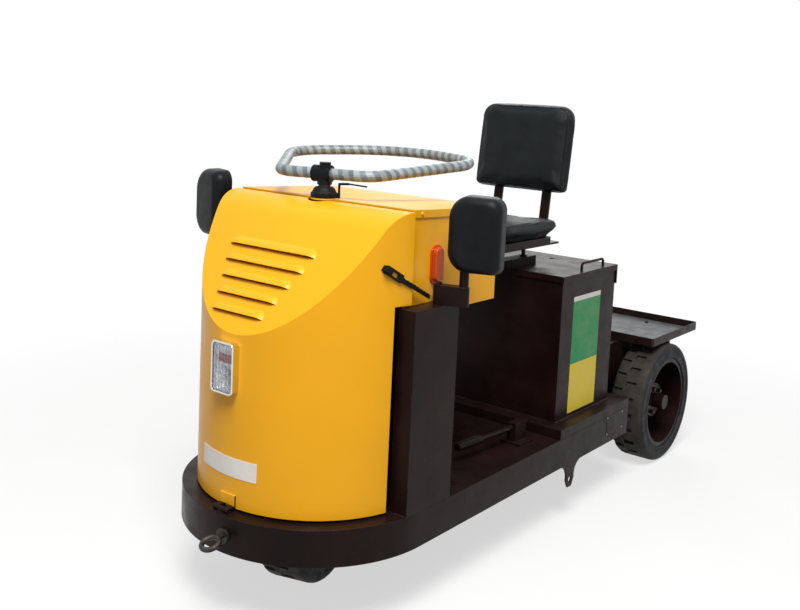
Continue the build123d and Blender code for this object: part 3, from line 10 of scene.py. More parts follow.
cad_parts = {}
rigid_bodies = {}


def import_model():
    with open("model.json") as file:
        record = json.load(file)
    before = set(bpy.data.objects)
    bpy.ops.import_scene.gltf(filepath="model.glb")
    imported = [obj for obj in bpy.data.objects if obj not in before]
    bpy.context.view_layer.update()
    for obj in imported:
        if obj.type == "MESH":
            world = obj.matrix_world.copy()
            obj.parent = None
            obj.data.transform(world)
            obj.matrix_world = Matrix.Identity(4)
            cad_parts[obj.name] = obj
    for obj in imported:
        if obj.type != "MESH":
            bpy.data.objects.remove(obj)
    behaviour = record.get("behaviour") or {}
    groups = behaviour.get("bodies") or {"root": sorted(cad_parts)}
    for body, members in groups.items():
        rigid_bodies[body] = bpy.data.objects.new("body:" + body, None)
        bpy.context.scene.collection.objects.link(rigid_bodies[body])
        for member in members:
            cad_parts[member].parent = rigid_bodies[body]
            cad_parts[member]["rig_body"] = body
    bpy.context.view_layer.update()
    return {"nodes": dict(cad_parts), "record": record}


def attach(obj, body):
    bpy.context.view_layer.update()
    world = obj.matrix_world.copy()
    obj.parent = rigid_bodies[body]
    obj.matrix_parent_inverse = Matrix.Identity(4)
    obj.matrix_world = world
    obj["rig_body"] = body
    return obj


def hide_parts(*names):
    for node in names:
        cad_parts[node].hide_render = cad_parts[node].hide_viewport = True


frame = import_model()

bl_info = {
    "name": "Baggage Tug",
    "version": (1, 0, 0),
    "blender": (4, 5, 0),
    "location": "View3D > Sidebar > Tug",
    "description": "Finishes a three-wheeled electric tow tractor round its packed frame",
    "category": "Object",
}

MM = 0.001
SIDES = (1, -1)
SHARP = 34.0  # degrees between two faces past which their edge stays sharp

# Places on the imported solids, in millimetres: X to the left, Y from the rear axle to the back, Z up from the floor.
REAR_AXLE = 724.5       # the frame's origin lies this far in front of the rear axle
REAR_TYRE_X = 274.0
TYRE_RADIUS = 201.0
AXLE_Z = TYRE_RADIUS
BORE_RADIUS = 143.0
BORE_HALF = 50.0
STEER_Y = -1400.0
HOOP_Z = 1012.0
NOSE_Y = -1388.0        # middle of the hood's half-round nose
HOOD_RADIUS = 294.0
HOOD_FACE = NOSE_Y - HOOD_RADIUS
HINGE_FRONT = -1687.0   # in front of this and under HINGE_TOP the hood has only its hinge knuckles
HINGE_TOP = 272.0
CONSOLE_REAR = -1049.0
CONSOLE_SIDE = 283.0
INSTRUMENT_Z = 865.0
FIREWALL_REAR = -1275.0
COLUMN_FRONT = -1444.0
PAN_TOP = 256.5
DECK_TOP = 284.0
TRAY_TOP = 415.0
LID_TOP = 715.3
BOX_FRONT = -693.0
BOX_REAR = -363.0
BOX_SIDE = 284.0
SKIRT_SIDE = 330.0
END_PLATE_REAR = 237.0
COVER_SIDE = 196.0
COVER_FRONT = -300.0
BATTERY_TOP = 600.0
SEAT_PLATE_Z = 776.0
SPRING_X = 165.0
CLAMP_X = (-196, -134, 134, 196)
CLAMP_ROUND = 46.0
CLAMP_FOOT = 128.0
CLAMP_END = 112.0
MOTOR_FRONT = -285.0
MOTOR_BOLTS = 60.0      # radius of the circle on which the motor's screws stand
ARM_FOOT = (308.0, -1330.0, 779.0)
BAR_X = 88.0
BAR_REAR = -492.0
LABEL_YELLOW_TOP = 444.0
LABEL_GREEN_TOP = 632.0
STEER_REST = math.radians(16.5)
BACK_LEAN = math.radians(7.0)


def linear(code):
    """Linear colour of an sRGB hex value."""
    parts = [int(code[i:i + 2], 16) / 255 for i in (1, 3, 5)]
    return [c / 12.92 if c <= 0.04045 else ((c + 0.055) / 1.055) ** 2.4 for c in parts] + [1.0]


def swatch(label, code, text):
    """Colour property with its default from an sRGB hex value."""
    return bpy.props.FloatVectorProperty(name=label, description=text, subtype="COLOR", size=4, min=0.0, max=1.0,
                                         default=linear(code))


def length(label, millimetres, text):
    """Length property with its default in millimetres."""
    return bpy.props.FloatProperty(name=label, description=text, default=millimetres * MM, min=0.0, precision=4,
                                   subtype="DISTANCE", unit="LENGTH")


class TugColours(bpy.types.PropertyGroup):
    """Colours of the tug's finishes"""
    yellow: swatch("Yellow powder coat", "#F5AF18", "Hood, console and its cover")
    black: swatch("Black enamel", "#1A0D0C", "Pan, columns, seat box, rear frame and rims")
    grey: swatch("Scuffed enamel", "#5C5F62", "Floor of the rear tray, scuffed by loads")
    tread: swatch("Tread rubber", "#2F2B27", "Tread of the three tyres, dusty from the apron")
    wall: swatch("Sidewall rubber", "#1C1F23", "Sidewalls of the three tyres")
    tape_pale: swatch("Pale tape", "#98A2A3", "Pale turns of the tape on the steering hoop")
    tape_dark: swatch("Dark tape", "#666F77", "Dark turns of the tape on the steering hoop")
    vinyl: swatch("Seat vinyl", "#14181A", "Cushion and backrest")
    plastic: swatch("Moulded plastic", "#111316", "Mirror shells and switches")
    amber: swatch("Amber lens", "#DC5210", "Side marker lamps")
    red: swatch("Red lens", "#B41410", "Tail lamps and the stop button")
    label_green: swatch("Label green", "#1E8C4E", "Upper field of the label on the seat box")
    label_yellow: swatch("Label yellow", "#E8CE3A", "Lower field of the label on the seat box")
    plate_white: swatch("Plate white", "#E9E6E0", "Blank plate on the hood")


class TugSizes(bpy.types.PropertyGroup):
    """Sizes of the tug's details"""
    tread_pitches: bpy.props.IntProperty(name="Tread pitches", description="Pairs of pockets round a tyre",
                                         default=24, min=12, max=40)
    pocket_depth: length("Pocket depth", 9.0, "Depth of the pockets in the tread")
    edge_round: length("Edge round", 0.9, "Rounding of sheet and plate edges")
    tape_width: length("Tape width", 14.0, "Width of one turn of the tape on the steering hoop")
    tape_lift: length("Tape lift", 0.7, "Step where one turn of tape laps the next")
    piping: length("Piping radius", 2.5, "Radius of the piping on the seat")
    bolt: length("Bolt size", 8.0, "Thread size of the frame's bolts")
    screw: length("Screw size", 5.0, "Thread size of the sheet screws")
    weld: length("Weld bead", 3.0, "Half width of the weld beads")
    plate: length("Plate thickness", 0.8, "Thickness of the blank plate on the hood")
    mirror_turn: bpy.props.FloatProperty(name="Mirror turn", default=math.radians(15), subtype="ANGLE",
                                         description="Angle by which each mirror is turned outwards")


def at(x, y, z):
    """Point in metres from millimetres with Y measured from the rear axle."""
    return Vector((x, y + REAR_AXLE, z)) * MM


def colour(name):
    """Linear colour that the user has set for a finish, or of a hex value."""
    return linear(name) if name.startswith("#") else list(getattr(bpy.context.scene.tug_colours, name))


def shaded(rgba, factor):
    """Colour made darker or lighter by a factor."""
    return [min(channel * factor, 1.0) for channel in rgba[:3]] + [1.0]


def size(name):
    """Size that the user has set for a detail."""
    return getattr(bpy.context.scene.tug_sizes, name)


def add(tree, kind, inputs=(), **settings):
    """Add one node with its settings, its values and its links; a node as a value stands for its first output."""
    made = tree.nodes.new(kind)
    for name, value in settings.items():
        setattr(made, name, value)
    for key, value in dict(inputs).items():
        if isinstance(value, bpy.types.Node):
            value = value.outputs[0]
        if isinstance(value, bpy.types.NodeSocket):
            tree.links.new(value, made.inputs[key])
        else:
            made.inputs[key].default_value = value
    return made


def made_once(name, sockets_of):
    """Material whose shader's sockets, or whose shader, a function gives from its tree and object coordinates."""
    material = bpy.data.materials.get(name)
    if material is None:
        material = bpy.data.materials.new(name)
        material.use_nodes = True
        tree = material.node_tree
        tree.nodes.clear()
        shader = sockets_of(tree, add(tree, "ShaderNodeTexCoord").outputs["Object"])
        if isinstance(shader, dict):
            shader = add(tree, "ShaderNodeBsdfPrincipled", shader)
        add(tree, "ShaderNodeOutputMaterial", {"Surface": shader})
    return material


def finish(name):
    """Decorator that makes a function of a shader's sockets one that gives the named material."""
    return lambda sockets_of: lambda: made_once(name, sockets_of)


def wander(tree, where, size_mm, low, high, detail=4.0, rough=0.6, ends=(0.35, 0.65)):
    """Value that wanders between two others over patches about size_mm across."""
    grain = add(tree, "ShaderNodeTexNoise", {"Vector": where, "Scale": 1 / (size_mm * MM), "Detail": detail,
                                             "Roughness": rough})
    return add(tree, "ShaderNodeMapRange", {"Value": grain, "From Min": ends[0], "From Max": ends[1],
                                            "To Min": low, "To Max": high})


def coats(tree, tint, *layers):
    """Colour with others laid over it in order, each as strongly as its mask says."""
    for mask, over in layers:
        tint = add(tree, "ShaderNodeMix", {0: mask, 6: tint, 7: over}, data_type="RGBA").outputs[2]
    return tint


def uneven(tree, where, body, patch_mm, low, high, detail=4.0):
    """Colour that wanders between a darker and a lighter tone of itself."""
    return coats(tree, shaded(body, low), (wander(tree, where, patch_mm, 0.0, 1.0, detail), shaded(body, high)))


def grained(tree, where, size_mm, depth_mm, **under):
    """Normal bent by a random grain of a real depth, over another normal if one is given."""
    grain = add(tree, "ShaderNodeTexNoise", {"Vector": where, "Scale": 1 / (size_mm * MM), "Detail": 3.0})
    return add(tree, "ShaderNodeBump", {"Height": grain, "Distance": depth_mm * MM, "Strength": 1.0, **under})


def rubbed_edges(tree, where, radius_mm, patch_mm, most):
    """Mask of the sharp edges where paint is rubbed through in patches."""
    rounded = add(tree, "ShaderNodeBevel", {"Radius": radius_mm * MM}, samples=4)
    flat = add(tree, "ShaderNodeNewGeometry")
    dot = add(tree, "ShaderNodeVectorMath", {0: rounded, 1: flat.outputs["Normal"]},
              operation="DOT_PRODUCT").outputs["Value"]
    edge = add(tree, "ShaderNodeMapRange", {"Value": dot, "From Min": 0.99, "From Max": 0.9})
    patches = wander(tree, where, patch_mm, 0.0, most, 4.0, 0.7, (0.48, 0.62))
    return add(tree, "ShaderNodeMath", {0: edge, 1: patches}, operation="MULTIPLY")


def looking_up(tree, start, end, most=1.0):
    """Mask of the faces that look up, growing between two values of their normal's Z."""
    split = add(tree, "ShaderNodeSeparateXYZ", {0: add(tree, "ShaderNodeNewGeometry").outputs["Normal"]})
    return add(tree, "ShaderNodeMapRange", {"Value": split.outputs["Z"], "From Min": start, "From Max": end,
                                            "To Max": most})


def dust_and_sheen_on_tops(tree, where, patch_mm, most):
    """Mask of dusty patches on faces that look up, partly a dusting and partly a painted sheen on those tops."""
    patches = wander(tree, where, patch_mm, 0.15, 1.0, 6.0, 0.65, (0.38, 0.66))
    return add(tree, "ShaderNodeMath", {0: looking_up(tree, 0.5, 0.98, most), 1: patches}, operation="MULTIPLY")


@finish("powder_coated_steel_yellow")
def yellow_enamel(tree, where):
    """Powder coat on sheet steel: a deep golden yellow, smooth with a faint orange peel and a soft gloss."""
    body = colour("yellow")
    scuff = wander(tree, where, 60, 0.0, 0.25, 6.0, 0.7, (0.66, 0.8))
    return {"Base Color": coats(tree, uneven(tree, where, body, 300, 0.97, 1.02), (scuff, shaded(body, 0.8))),
            "Roughness": wander(tree, where, 110, 0.30, 0.38), "Specular IOR Level": 0.26,
            "Normal": grained(tree, where, 2.4, 0.02)}


@finish("black_enamel_steel")
def black_enamel(tree, where):
    """Brushed and sprayed enamel on steel: near black with a warm cast, glossy, dusty on top with a painted sheen
    there, rubbed at edges.
    """
    # Faces that look up are lighter in patches: partly a dusting, partly a painted sheen.
    tint = coats(tree, uneven(tree, where, colour("black"), 140, 0.7, 1.5, 5.0),
                 (dust_and_sheen_on_tops(tree, where, 60, 0.12), linear("#3C3430")),
                 (rubbed_edges(tree, where, 1.6, 16, 0.45), linear("#5A524C")))
    runs = grained(tree, where, 26, 0.12)
    return {"Base Color": tint, "Roughness": wander(tree, where, 55, 0.26, 0.44, 6.0),
            "Specular IOR Level": 0.1, "Normal": grained(tree, where, 3.0, 0.04, Normal=runs)}


@finish("scuffed_enamel_steel")
def tray_enamel(tree, where):
    """Black enamel on plate, scuffed by loads to a dull grey on the floor of the tray."""
    high = add(tree, "ShaderNodeSeparateXYZ", {0: where}).outputs["Z"]
    low = add(tree, "ShaderNodeMath", {0: high, 1: (TRAY_TOP + 2.0) * MM}, operation="LESS_THAN")
    floor = add(tree, "ShaderNodeMath", {0: low, 1: looking_up(tree, 0.8, 0.95)}, operation="MULTIPLY")
    scuffed = add(tree, "ShaderNodeMath", {0: floor, 1: wander(tree, where, 45, 0.6, 1.0, 6.0)},
                  operation="MULTIPLY")
    tint = coats(tree, uneven(tree, where, colour("black"), 90, 0.8, 1.4, 5.0), (scuffed, colour("grey")),
                 (rubbed_edges(tree, where, 1.6, 16, 0.5), linear("#5A524C")))
    return {"Base Color": tint, "Roughness": wander(tree, where, 40, 0.36, 0.56, 6.0),
            "Specular IOR Level": 0.2, "Normal": grained(tree, where, 4, 0.05)}


def patchy(name, tone, patch_mm, contrast, gloss, grain, top_dust_and_sheen=0.0, rub=0.0, **sockets):
    """Finish with patches of a lighter and a darker tone, uneven gloss, a fine grain, dusty tops with a painted
    sheen, and rubbed edges.
    """
    def sockets_of(tree, where):
        tint = uneven(tree, where, colour(tone), patch_mm, 1 - contrast, 1 + contrast)
        # Faces that look up are lighter in patches: partly a dusting, partly a painted sheen.
        if top_dust_and_sheen:
            tint = coats(tree, tint, (dust_and_sheen_on_tops(tree, where, patch_mm / 2, top_dust_and_sheen), linear("#7A7068")))
        if rub:
            tint = coats(tree, tint, (rubbed_edges(tree, where, 1.2, patch_mm / 4, rub), linear("#8A8580")))
        return {"Base Color": tint, "Roughness": wander(tree, where, patch_mm / 3, *gloss),
                "Normal": grained(tree, where, *grain),
                **{key.replace("_", " "): value for key, value in sockets.items()}}
    return made_once(name, sockets_of)


@finish("solid_tyre_rubber")
def tyre_rubber(tree, where):
    """Pressed solid rubber: dusty brown on the tread, blue black on the sidewall, matt and faintly ribbed."""
    tread = add(tree, "ShaderNodeAttribute", attribute_name="tread").outputs["Fac"]
    tint = coats(tree, uneven(tree, where, colour("wall"), 40, 0.8, 1.3, 6.0),
                 (tread, uneven(tree, where, colour("tread"), 25, 0.7, 1.25, 6.0)),
                 (wander(tree, where, 90, 0.0, 0.24, 6.0, 0.7, (0.5, 0.75)), linear("#6A6058")))
    return {"Base Color": tint, "Roughness": wander(tree, where, 30, 0.62, 0.85),
            "Specular IOR Level": 0.25, "Normal": grained(tree, where, 1.8, 0.12)}


@finish("wound_cloth_tape")
def wound_tape(tree, where):
    """Woven cloth tape wound on a slant: pale and dark turns, rubbed shiny and streaked along each turn."""
    lay = add(tree, "ShaderNodeUVMap", uv_map="wound")
    split = add(tree, "ShaderNodeSeparateXYZ", {0: lay})
    turns = add(tree, "ShaderNodeMath", {0: split.outputs["X"], 1: 2 * size("tape_width")}, operation="DIVIDE")
    phase = add(tree, "ShaderNodeMath", {0: turns, 1: split.outputs["Y"]}, operation="SUBTRACT")
    saw = add(tree, "ShaderNodeMath", {0: phase}, operation="FRACT")
    ragged = add(tree, "ShaderNodeMath", {0: saw, 1: wander(tree, where, 9, -0.04, 0.04, 5.0)}, operation="ADD")
    near = add(tree, "ShaderNodeMapRange", {"Value": ragged, "From Min": 0.46, "From Max": 0.52})
    far = add(tree, "ShaderNodeMapRange", {"Value": ragged, "From Min": 0.99, "From Max": 0.95})
    dark = add(tree, "ShaderNodeMath", {0: near, 1: far}, operation="MULTIPLY")
    turn = add(tree, "ShaderNodeMath", {0: phase}, operation="FLOOR")
    each = add(tree, "ShaderNodeTexWhiteNoise", {"W": turn}, noise_dimensions="1D").outputs["Value"]
    pale_turn, dark_turn = (
        coats(tree, shaded(colour(name), low), (each, shaded(colour(name), high)))
        for name, low, high in (("tape_pale", 0.75, 1.15), ("tape_dark", 0.8, 1.3)))
    streaks = add(tree, "ShaderNodeMapping", {"Vector": lay, "Scale": (60.0, 9.0, 1.0)})
    streak = add(tree, "ShaderNodeTexNoise", {"Vector": streaks, "Scale": 6.0, "Detail": 5.0, "Roughness": 0.7})
    worn = add(tree, "ShaderNodeMapRange", {"Value": streak, "From Min": 0.5, "From Max": 0.68, "To Max": 0.55})
    return {"Base Color": coats(tree, pale_turn, (dark, dark_turn), (worn, linear("#8C8B88"))),
            "Roughness": wander(tree, where, 14, 0.28, 0.46), "Specular IOR Level": 0.4,
            "Normal": grained(tree, where, 1.2, 0.08)}


@finish("black_vinyl_cloth")
def seat_vinyl(tree, where):
    """Leather-grained vinyl over foam: black, with fine creases and a low sheen."""
    # Faces that look up are lighter in patches: partly a dusting, partly a painted sheen.
    tint = coats(tree, uneven(tree, where, colour("vinyl"), 70, 0.75, 1.35, 5.0),
                 (dust_and_sheen_on_tops(tree, where, 50, 0.06), linear("#4A4844")))
    cells = add(tree, "ShaderNodeTexVoronoi", {"Vector": where, "Scale": 1 / (2.6 * MM)},
                feature="DISTANCE_TO_EDGE")
    creases = add(tree, "ShaderNodeMapRange", {"Value": cells.outputs["Distance"], "From Max": 0.16})
    leather = add(tree, "ShaderNodeBump", {"Height": creases, "Distance": 0.10 * MM, "Strength": 1.0})
    return {"Base Color": tint, "Roughness": wander(tree, where, 40, 0.36, 0.48, 5.0),
            "Specular IOR Level": 0.15, "Normal": grained(tree, where, 30, 0.5, Normal=leather)}


@finish("clear_polycarbonate_fluted")
def ribbed_lens(tree, where):
    """Pressed clear lens: upright flutes over facets of 11 mm, which break up what stands behind."""
    # A wave texture repeats every pi / 10 over its scale, so these flutes stand 3.1 mm apart.
    flutes = add(tree, "ShaderNodeTexWave", {"Vector": where, "Scale": 1 / (10 * MM), "Distortion": 0.0},
                 wave_type="BANDS", bands_direction="X")
    facets = add(tree, "ShaderNodeTexVoronoi", {"Vector": where, "Scale": 1 / (11.0 * MM), "Randomness": 0.55},
                 distance="CHEBYCHEV")
    pressed = add(tree, "ShaderNodeBump", {"Height": facets, "Distance": 3.0 * MM, "Strength": 1.0})
    normal = add(tree, "ShaderNodeBump", {"Height": flutes.outputs["Fac"], "Distance": 0.5 * MM, "Strength": 1.0,
                                          "Normal": pressed})
    return {"Base Color": linear("#F3F5F7"), "Roughness": wander(tree, where, 30, 0.02, 0.06),
            "Transmission Weight": 1.0, "IOR": 1.5, "Normal": normal}


def coloured_lens(name, tone):
    """Coloured acrylic lens with fine pyramids on its inner face: each pyramid is painted lighter at its middle as a
    glint and darker at its rim as shade.
    """
    def sockets_of(tree, where):
        cells = add(tree, "ShaderNodeTexVoronoi", {"Vector": where, "Scale": 1 / (6.0 * MM), "Randomness": 0.0})
        far = cells.outputs["Distance"]
        body = colour(tone)
        # Painted glint and shade: lighter at the middle of each pyramid, darker towards its rim.
        return {"Base Color": coats(tree, shaded(body, 1.25), (far, shaded(body, 0.7))),
                "Roughness": wander(tree, where, 20, 0.10, 0.18), "Specular IOR Level": 0.15,
                "Transmission Weight": 0.25,
                "Normal": add(tree, "ShaderNodeBump", {"Height": far, "Distance": 0.3 * MM, "Strength": 1.0})}
    return made_once(name, sockets_of)


@finish("printed_vinyl_label")
def printed_label(tree, where):
    """Printed vinyl label: a white head, a green field and a yellow field, blank, faded in patches."""
    high = add(tree, "ShaderNodeSeparateXYZ", {0: where}).outputs["Z"]
    over, head = (add(tree, "ShaderNodeMath", {0: high, 1: edge * MM}, operation="GREATER_THAN")
                  for edge in (LABEL_YELLOW_TOP, LABEL_GREEN_TOP))
    tint = coats(tree, colour("label_yellow"), (over, colour("label_green")), (head, linear("#E6E4DC")),
                 (wander(tree, where, 50, 0.0, 0.14, 5.0), linear("#B8B4A0")))
    return {"Base Color": tint, "Roughness": wander(tree, where, 30, 0.34, 0.5),
            "Specular IOR Level": 0.2, "Normal": grained(tree, where, 12, 0.1)}


@finish("printed_gauge_face")
def dial_face(tree, where):
    """Printed gauge face: black with an arc of pale ticks and a red end."""
    flat = add(tree, "ShaderNodeUVMap", uv_map="dial")
    across, up = add(tree, "ShaderNodeSeparateXYZ", {0: flat}).outputs[:2]
    far = add(tree, "ShaderNodeVectorMath", {0: flat}, operation="LENGTH").outputs["Value"]
    turn = add(tree, "ShaderNodeMath", {0: up, 1: across}, operation="ARCTAN2")
    steps = add(tree, "ShaderNodeMath", {0: turn, 1: 18 / math.pi}, operation="MULTIPLY")
    share = add(tree, "ShaderNodeMath", {0: steps}, operation="FRACT")
    mark = 1.0
    for value, test, limit in ((share, "LESS_THAN", 0.24), (far, "GREATER_THAN", 0.62), (far, "LESS_THAN", 0.82),
                               (up, "GREATER_THAN", -0.2)):
        inside = add(tree, "ShaderNodeMath", {0: value, 1: limit}, operation=test)
        mark = add(tree, "ShaderNodeMath", {0: mark, 1: inside}, operation="MULTIPLY")
    left = add(tree, "ShaderNodeMath", {0: across, 1: -0.45}, operation="LESS_THAN")
    ink = coats(tree, linear("#E8E6DE"), (left, linear("#D0281C")))
    return {"Base Color": coats(tree, linear("#0C0C0E"), (mark, ink)), "Roughness": 0.5,
            "Normal": grained(tree, where, 2, 0.02)}


MATERIALS = {
    "yellow_paint": yellow_enamel,
    "black_paint": black_enamel,
    "grey_paint": tray_enamel,
    "tyre_rubber": tyre_rubber,
    "clear_lens": ribbed_lens,
    "amber_lens": lambda: coloured_lens("amber_acrylic", "amber"),
    "red_lens": lambda: coloured_lens("red_acrylic", "red"),
    "banded_tube": wound_tape,
    "black_vinyl": seat_vinyl,
    # Sand-cast iron under one coat of paint: rough to the eye, with little gloss.
    "cast_iron": lambda: patchy("painted_grey_cast_iron", "#1C1B1C", 40, 0.3, (0.45, 0.68), (2.5, 0.25),
                                top_dust_and_sheen=0.3, rub=0.3),
    # Rolled spring leaves, oiled and dusty, with a painted sheen on their tops and a brown bloom.
    "spring_steel": lambda: patchy("oiled_spring_steel", "#3B3733", 30, 0.35, (0.4, 0.6), (3, 0.08),
                                   top_dust_and_sheen=0.25, Metallic=0.85),
    # Moulded rubber: dark, soft, no gloss.
    "black_rubber": lambda: patchy("moulded_epdm_rubber", "#0F0F10", 30, 0.3, (0.5, 0.68), (1.5, 0.04),
                                   top_dust_and_sheen=0.08, Specular_IOR_Level=0.15),
    # Injection-moulded ABS with a spark-eroded grain: dark with a cool sheen.
    "black_plastic": lambda: patchy("grained_abs_plastic", "plastic", 60, 0.25, (0.36, 0.46), (1.2, 0.05),
                                    top_dust_and_sheen=0.04, Specular_IOR_Level=0.12),
    # Silver behind flat glass.
    "mirror_glass": lambda: patchy("silvered_glass", "#DCE0E4", 80, 0.02, (0.01, 0.03), (50, 0.0), Metallic=1.0),
    # Bright nickel and chrome over pressed steel.
    "chrome": lambda: patchy("chrome_plated_steel", "#DADBDE", 60, 0.05, (0.06, 0.14), (30, 0.01), Metallic=1.0),
    # Moulded polypropylene case: dull black with faint flow marks.
    "battery_case": lambda: patchy("polypropylene_case", "#1A1A1C", 60, 0.3, (0.4, 0.55), (2, 0.05), top_dust_and_sheen=0.25),
    # Zinc-plated fasteners, gone dull.
    "zinc": lambda: patchy("dull_zinc_plated_steel", "#8E8C88", 12, 0.25, (0.3, 0.5), (1.5, 0.04), Metallic=0.9),
    # Blank enamelled plate.
    "white_plate": lambda: patchy("white_enamelled_plate", "plate_white", 80, 0.04, (0.3, 0.42), (8, 0.02)),
    # Bonded nylon sewing thread: black with a dull sheen.
    "thread": lambda: patchy("bonded_nylon_thread", "#1E1E20", 4, 0.3, (0.4, 0.55), (1.0, 0.02)),
    # Cast lead of the battery's posts and straps: soft grey, dull.
    "lead": lambda: patchy("cast_lead", "#77777A", 14, 0.2, (0.45, 0.6), (3, 0.1), Metallic=0.9),
}


def slot_of(node):
    """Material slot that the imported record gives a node."""
    for row in frame["record"]["subparts"]:
        if row["node"] == node:
            return row["material_slot"]
    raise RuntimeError(f"no material slot for {node}")


def body_of(node):
    """Body that a CAD node rides on."""
    return frame["nodes"][node]["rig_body"]


def paint(obj, material):
    """Give an object one material."""
    obj.data.materials.clear()
    obj.data.materials.append(material)


def place(obj, body, slot, *nodes):
    """Ride a finished piece on its body and hide the CAD nodes that it stands for; its slot is not used."""
    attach(obj, body)
    if nodes:
        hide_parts(*nodes)
    return obj


def shown(name, data):
    """Object in the scene for a mesh, a lamp or a camera."""
    made = bpy.data.objects.new(name, data)
    bpy.context.scene.collection.objects.link(made)
    return made


def clear(*scratch):
    """Take scratch objects out of the file."""
    for obj in scratch:
        bpy.data.objects.remove(obj)


def soften(form, sharp_deg):
    """Smooth faces, with the edges sharper than an angle left sharp."""
    for face in form.faces:
        face.smooth = True
    for edge in form.edges:
        edge.smooth = edge.is_manifold and edge.calc_face_angle(0.0) < math.radians(sharp_deg)


@contextmanager
def opened(mesh, sharp_deg=None):
    """Mesh opened for changes, softened past an angle if one is given, and written back."""
    form = bmesh.new()
    form.from_mesh(mesh)
    yield form
    if sharp_deg is not None:
        soften(form, sharp_deg)
    form.to_mesh(mesh)
    form.free()


def mesh_piece(name, verts, faces, sharp_deg=SHARP, merge=True):
    """Mesh object of points in metres and faces: smooth, sharp at its edges, facing outwards."""
    mesh = bpy.data.meshes.new(name)
    mesh.from_pydata([tuple(v) for v in verts], [], faces)
    with opened(mesh, sharp_deg) as form:
        if merge:
            bmesh.ops.remove_doubles(form, verts=form.verts, dist=1e-6)
            bmesh.ops.recalc_face_normals(form, faces=form.faces)
    return shown(name, mesh)


def line_mesh(name, points, closed=False):
    """Mesh of a chain of points in metres."""
    edges = [(i, i + 1) for i in range(len(points) - 1)]
    if closed:
        edges.append((len(points) - 1, 0))
    mesh = bpy.data.meshes.new(name)
    mesh.from_pydata([tuple(p) for p in points], edges, [])
    return mesh


def bevelled(obj, width, sharp_deg=SHARP, segments=2):
    """Round an object's sharp edges with a live bevel."""
    bevel = obj.modifiers.new("soft_edges", "BEVEL")
    bevel.width = width
    bevel.segments = segments
    bevel.limit_method = "ANGLE"
    bevel.angle_limit = math.radians(sharp_deg)
    bevel.harden_normals = True


def plain(obj, name):
    """Plain mesh object in the place of one with modifiers."""
    graph = bpy.context.evaluated_depsgraph_get()
    mesh = bpy.data.meshes.new_from_object(obj.evaluated_get(graph), preserve_all_data_layers=True,
                                           depsgraph=graph)
    clear(obj)
    return shown(name, mesh)


def joined(name, pieces):
    """One mesh object from several, with their materials."""
    form = bmesh.new()
    mesh = bpy.data.meshes.new(name)
    for piece in pieces:
        start = len(form.faces)
        form.from_mesh(piece.data)
        form.faces.ensure_lookup_table()
        material = piece.data.materials[0] if piece.data.materials else None
        if material and mesh.materials.find(material.name) < 0:
            mesh.materials.append(material)
        for face in form.faces[start:]:
            face.material_index = mesh.materials.find(material.name) if material else 0
    form.to_mesh(mesh)
    form.free()
    clear(*pieces)
    return shown(name, mesh)


def lofted(name, rings, sharp_deg=SHARP, merge=True):
    """Form through rings of equal counts of points in metres, closed at both ends."""
    count = len(rings[0])
    faces = []
    for low in range(0, (len(rings) - 1) * count, count):
        for step in range(count):
            after = (step + 1) % count
            faces.append((low + step, low + after, low + count + after, low + count + step))
    faces.append(tuple(range(count))[::-1])
    faces.append(tuple((len(rings) - 1) * count + step for step in range(count)))
    return mesh_piece(name, [point for ring in rings for point in ring], faces, sharp_deg, merge)


def turned(name, profile, sides=24, sharp_deg=SHARP):
    """Form turned about Z from (radius, height) points in millimetres."""
    angles = [2 * math.pi * step / sides for step in range(sides)]
    return lofted(name, [[Vector((radius * math.cos(a), radius * math.sin(a), height)) * MM for a in angles]
                         for radius, height in profile], sharp_deg)


def rounded_outline(half_x, half_y, radii, steps=8):
    """Outline of a rectangle about the origin with one radius or four, from +X +Y round to -X +Y and back."""
    if not isinstance(radii, (list, tuple)):
        radii = [radii] * 4
    points = []
    for index, (sx, sy) in enumerate(((1, 1), (-1, 1), (-1, -1), (1, -1))):
        radius = radii[index]
        for step in range(steps + 1):
            angle = (index + step / steps) * math.pi / 2
            points.append((sx * (half_x - radius) + radius * math.cos(angle),
                           sy * (half_y - radius) + radius * math.sin(angle)))
    return points


def layered(name, outlines, matrix=Matrix.Identity(4), sharp_deg=SHARP, merge=True):
    """Form through outlines, each with its height, set in place by a matrix, in millimetres."""
    return lofted(name, [[matrix @ (Vector((x, y, high)) * MM) for x, y in points] for points, high in outlines],
                  sharp_deg, merge)


def slab(name, layers, steps, matrix=Matrix.Identity(4)):
    """Form through rounded rectangles, layers of (half X, half Y, corner radius, height) in millimetres."""
    return layered(name, [(rounded_outline(half_x, half_y, radius, steps), high)
                          for half_x, half_y, radius, high in layers], matrix)


def upright(spot, facing, up=(0, 0, 1)):
    """Matrix that sets a form on a spot: its Z along facing, its Y as near to up as may be."""
    z = Vector(facing).normalized()
    y = (Vector(up) - Vector(up).dot(z) * z).normalized()
    turn = Matrix((y.cross(z), y, z)).transposed().to_4x4()
    return Matrix.Translation(spot) @ turn


def new_tree(name, **inputs):
    """Geometry node tree with its geometry in and out and named inputs, and no sockets if it is already made."""
    found = bpy.data.node_groups.get(name)
    if found:
        return found, None, None
    tree = bpy.data.node_groups.new(name, "GeometryNodeTree")
    tree.interface.new_socket("Geometry", in_out="INPUT", socket_type="NodeSocketGeometry")
    for label, (kind, default) in inputs.items():
        socket = tree.interface.new_socket(label, in_out="INPUT", socket_type="NodeSocket" + kind)
        if default is not None:
            socket.default_value = default
    tree.interface.new_socket("Finish", in_out="INPUT", socket_type="NodeSocketMaterial")
    tree.interface.new_socket("Geometry", in_out="OUTPUT", socket_type="NodeSocketGeometry")
    return tree, add(tree, "NodeGroupInput").outputs, add(tree, "NodeGroupOutput")


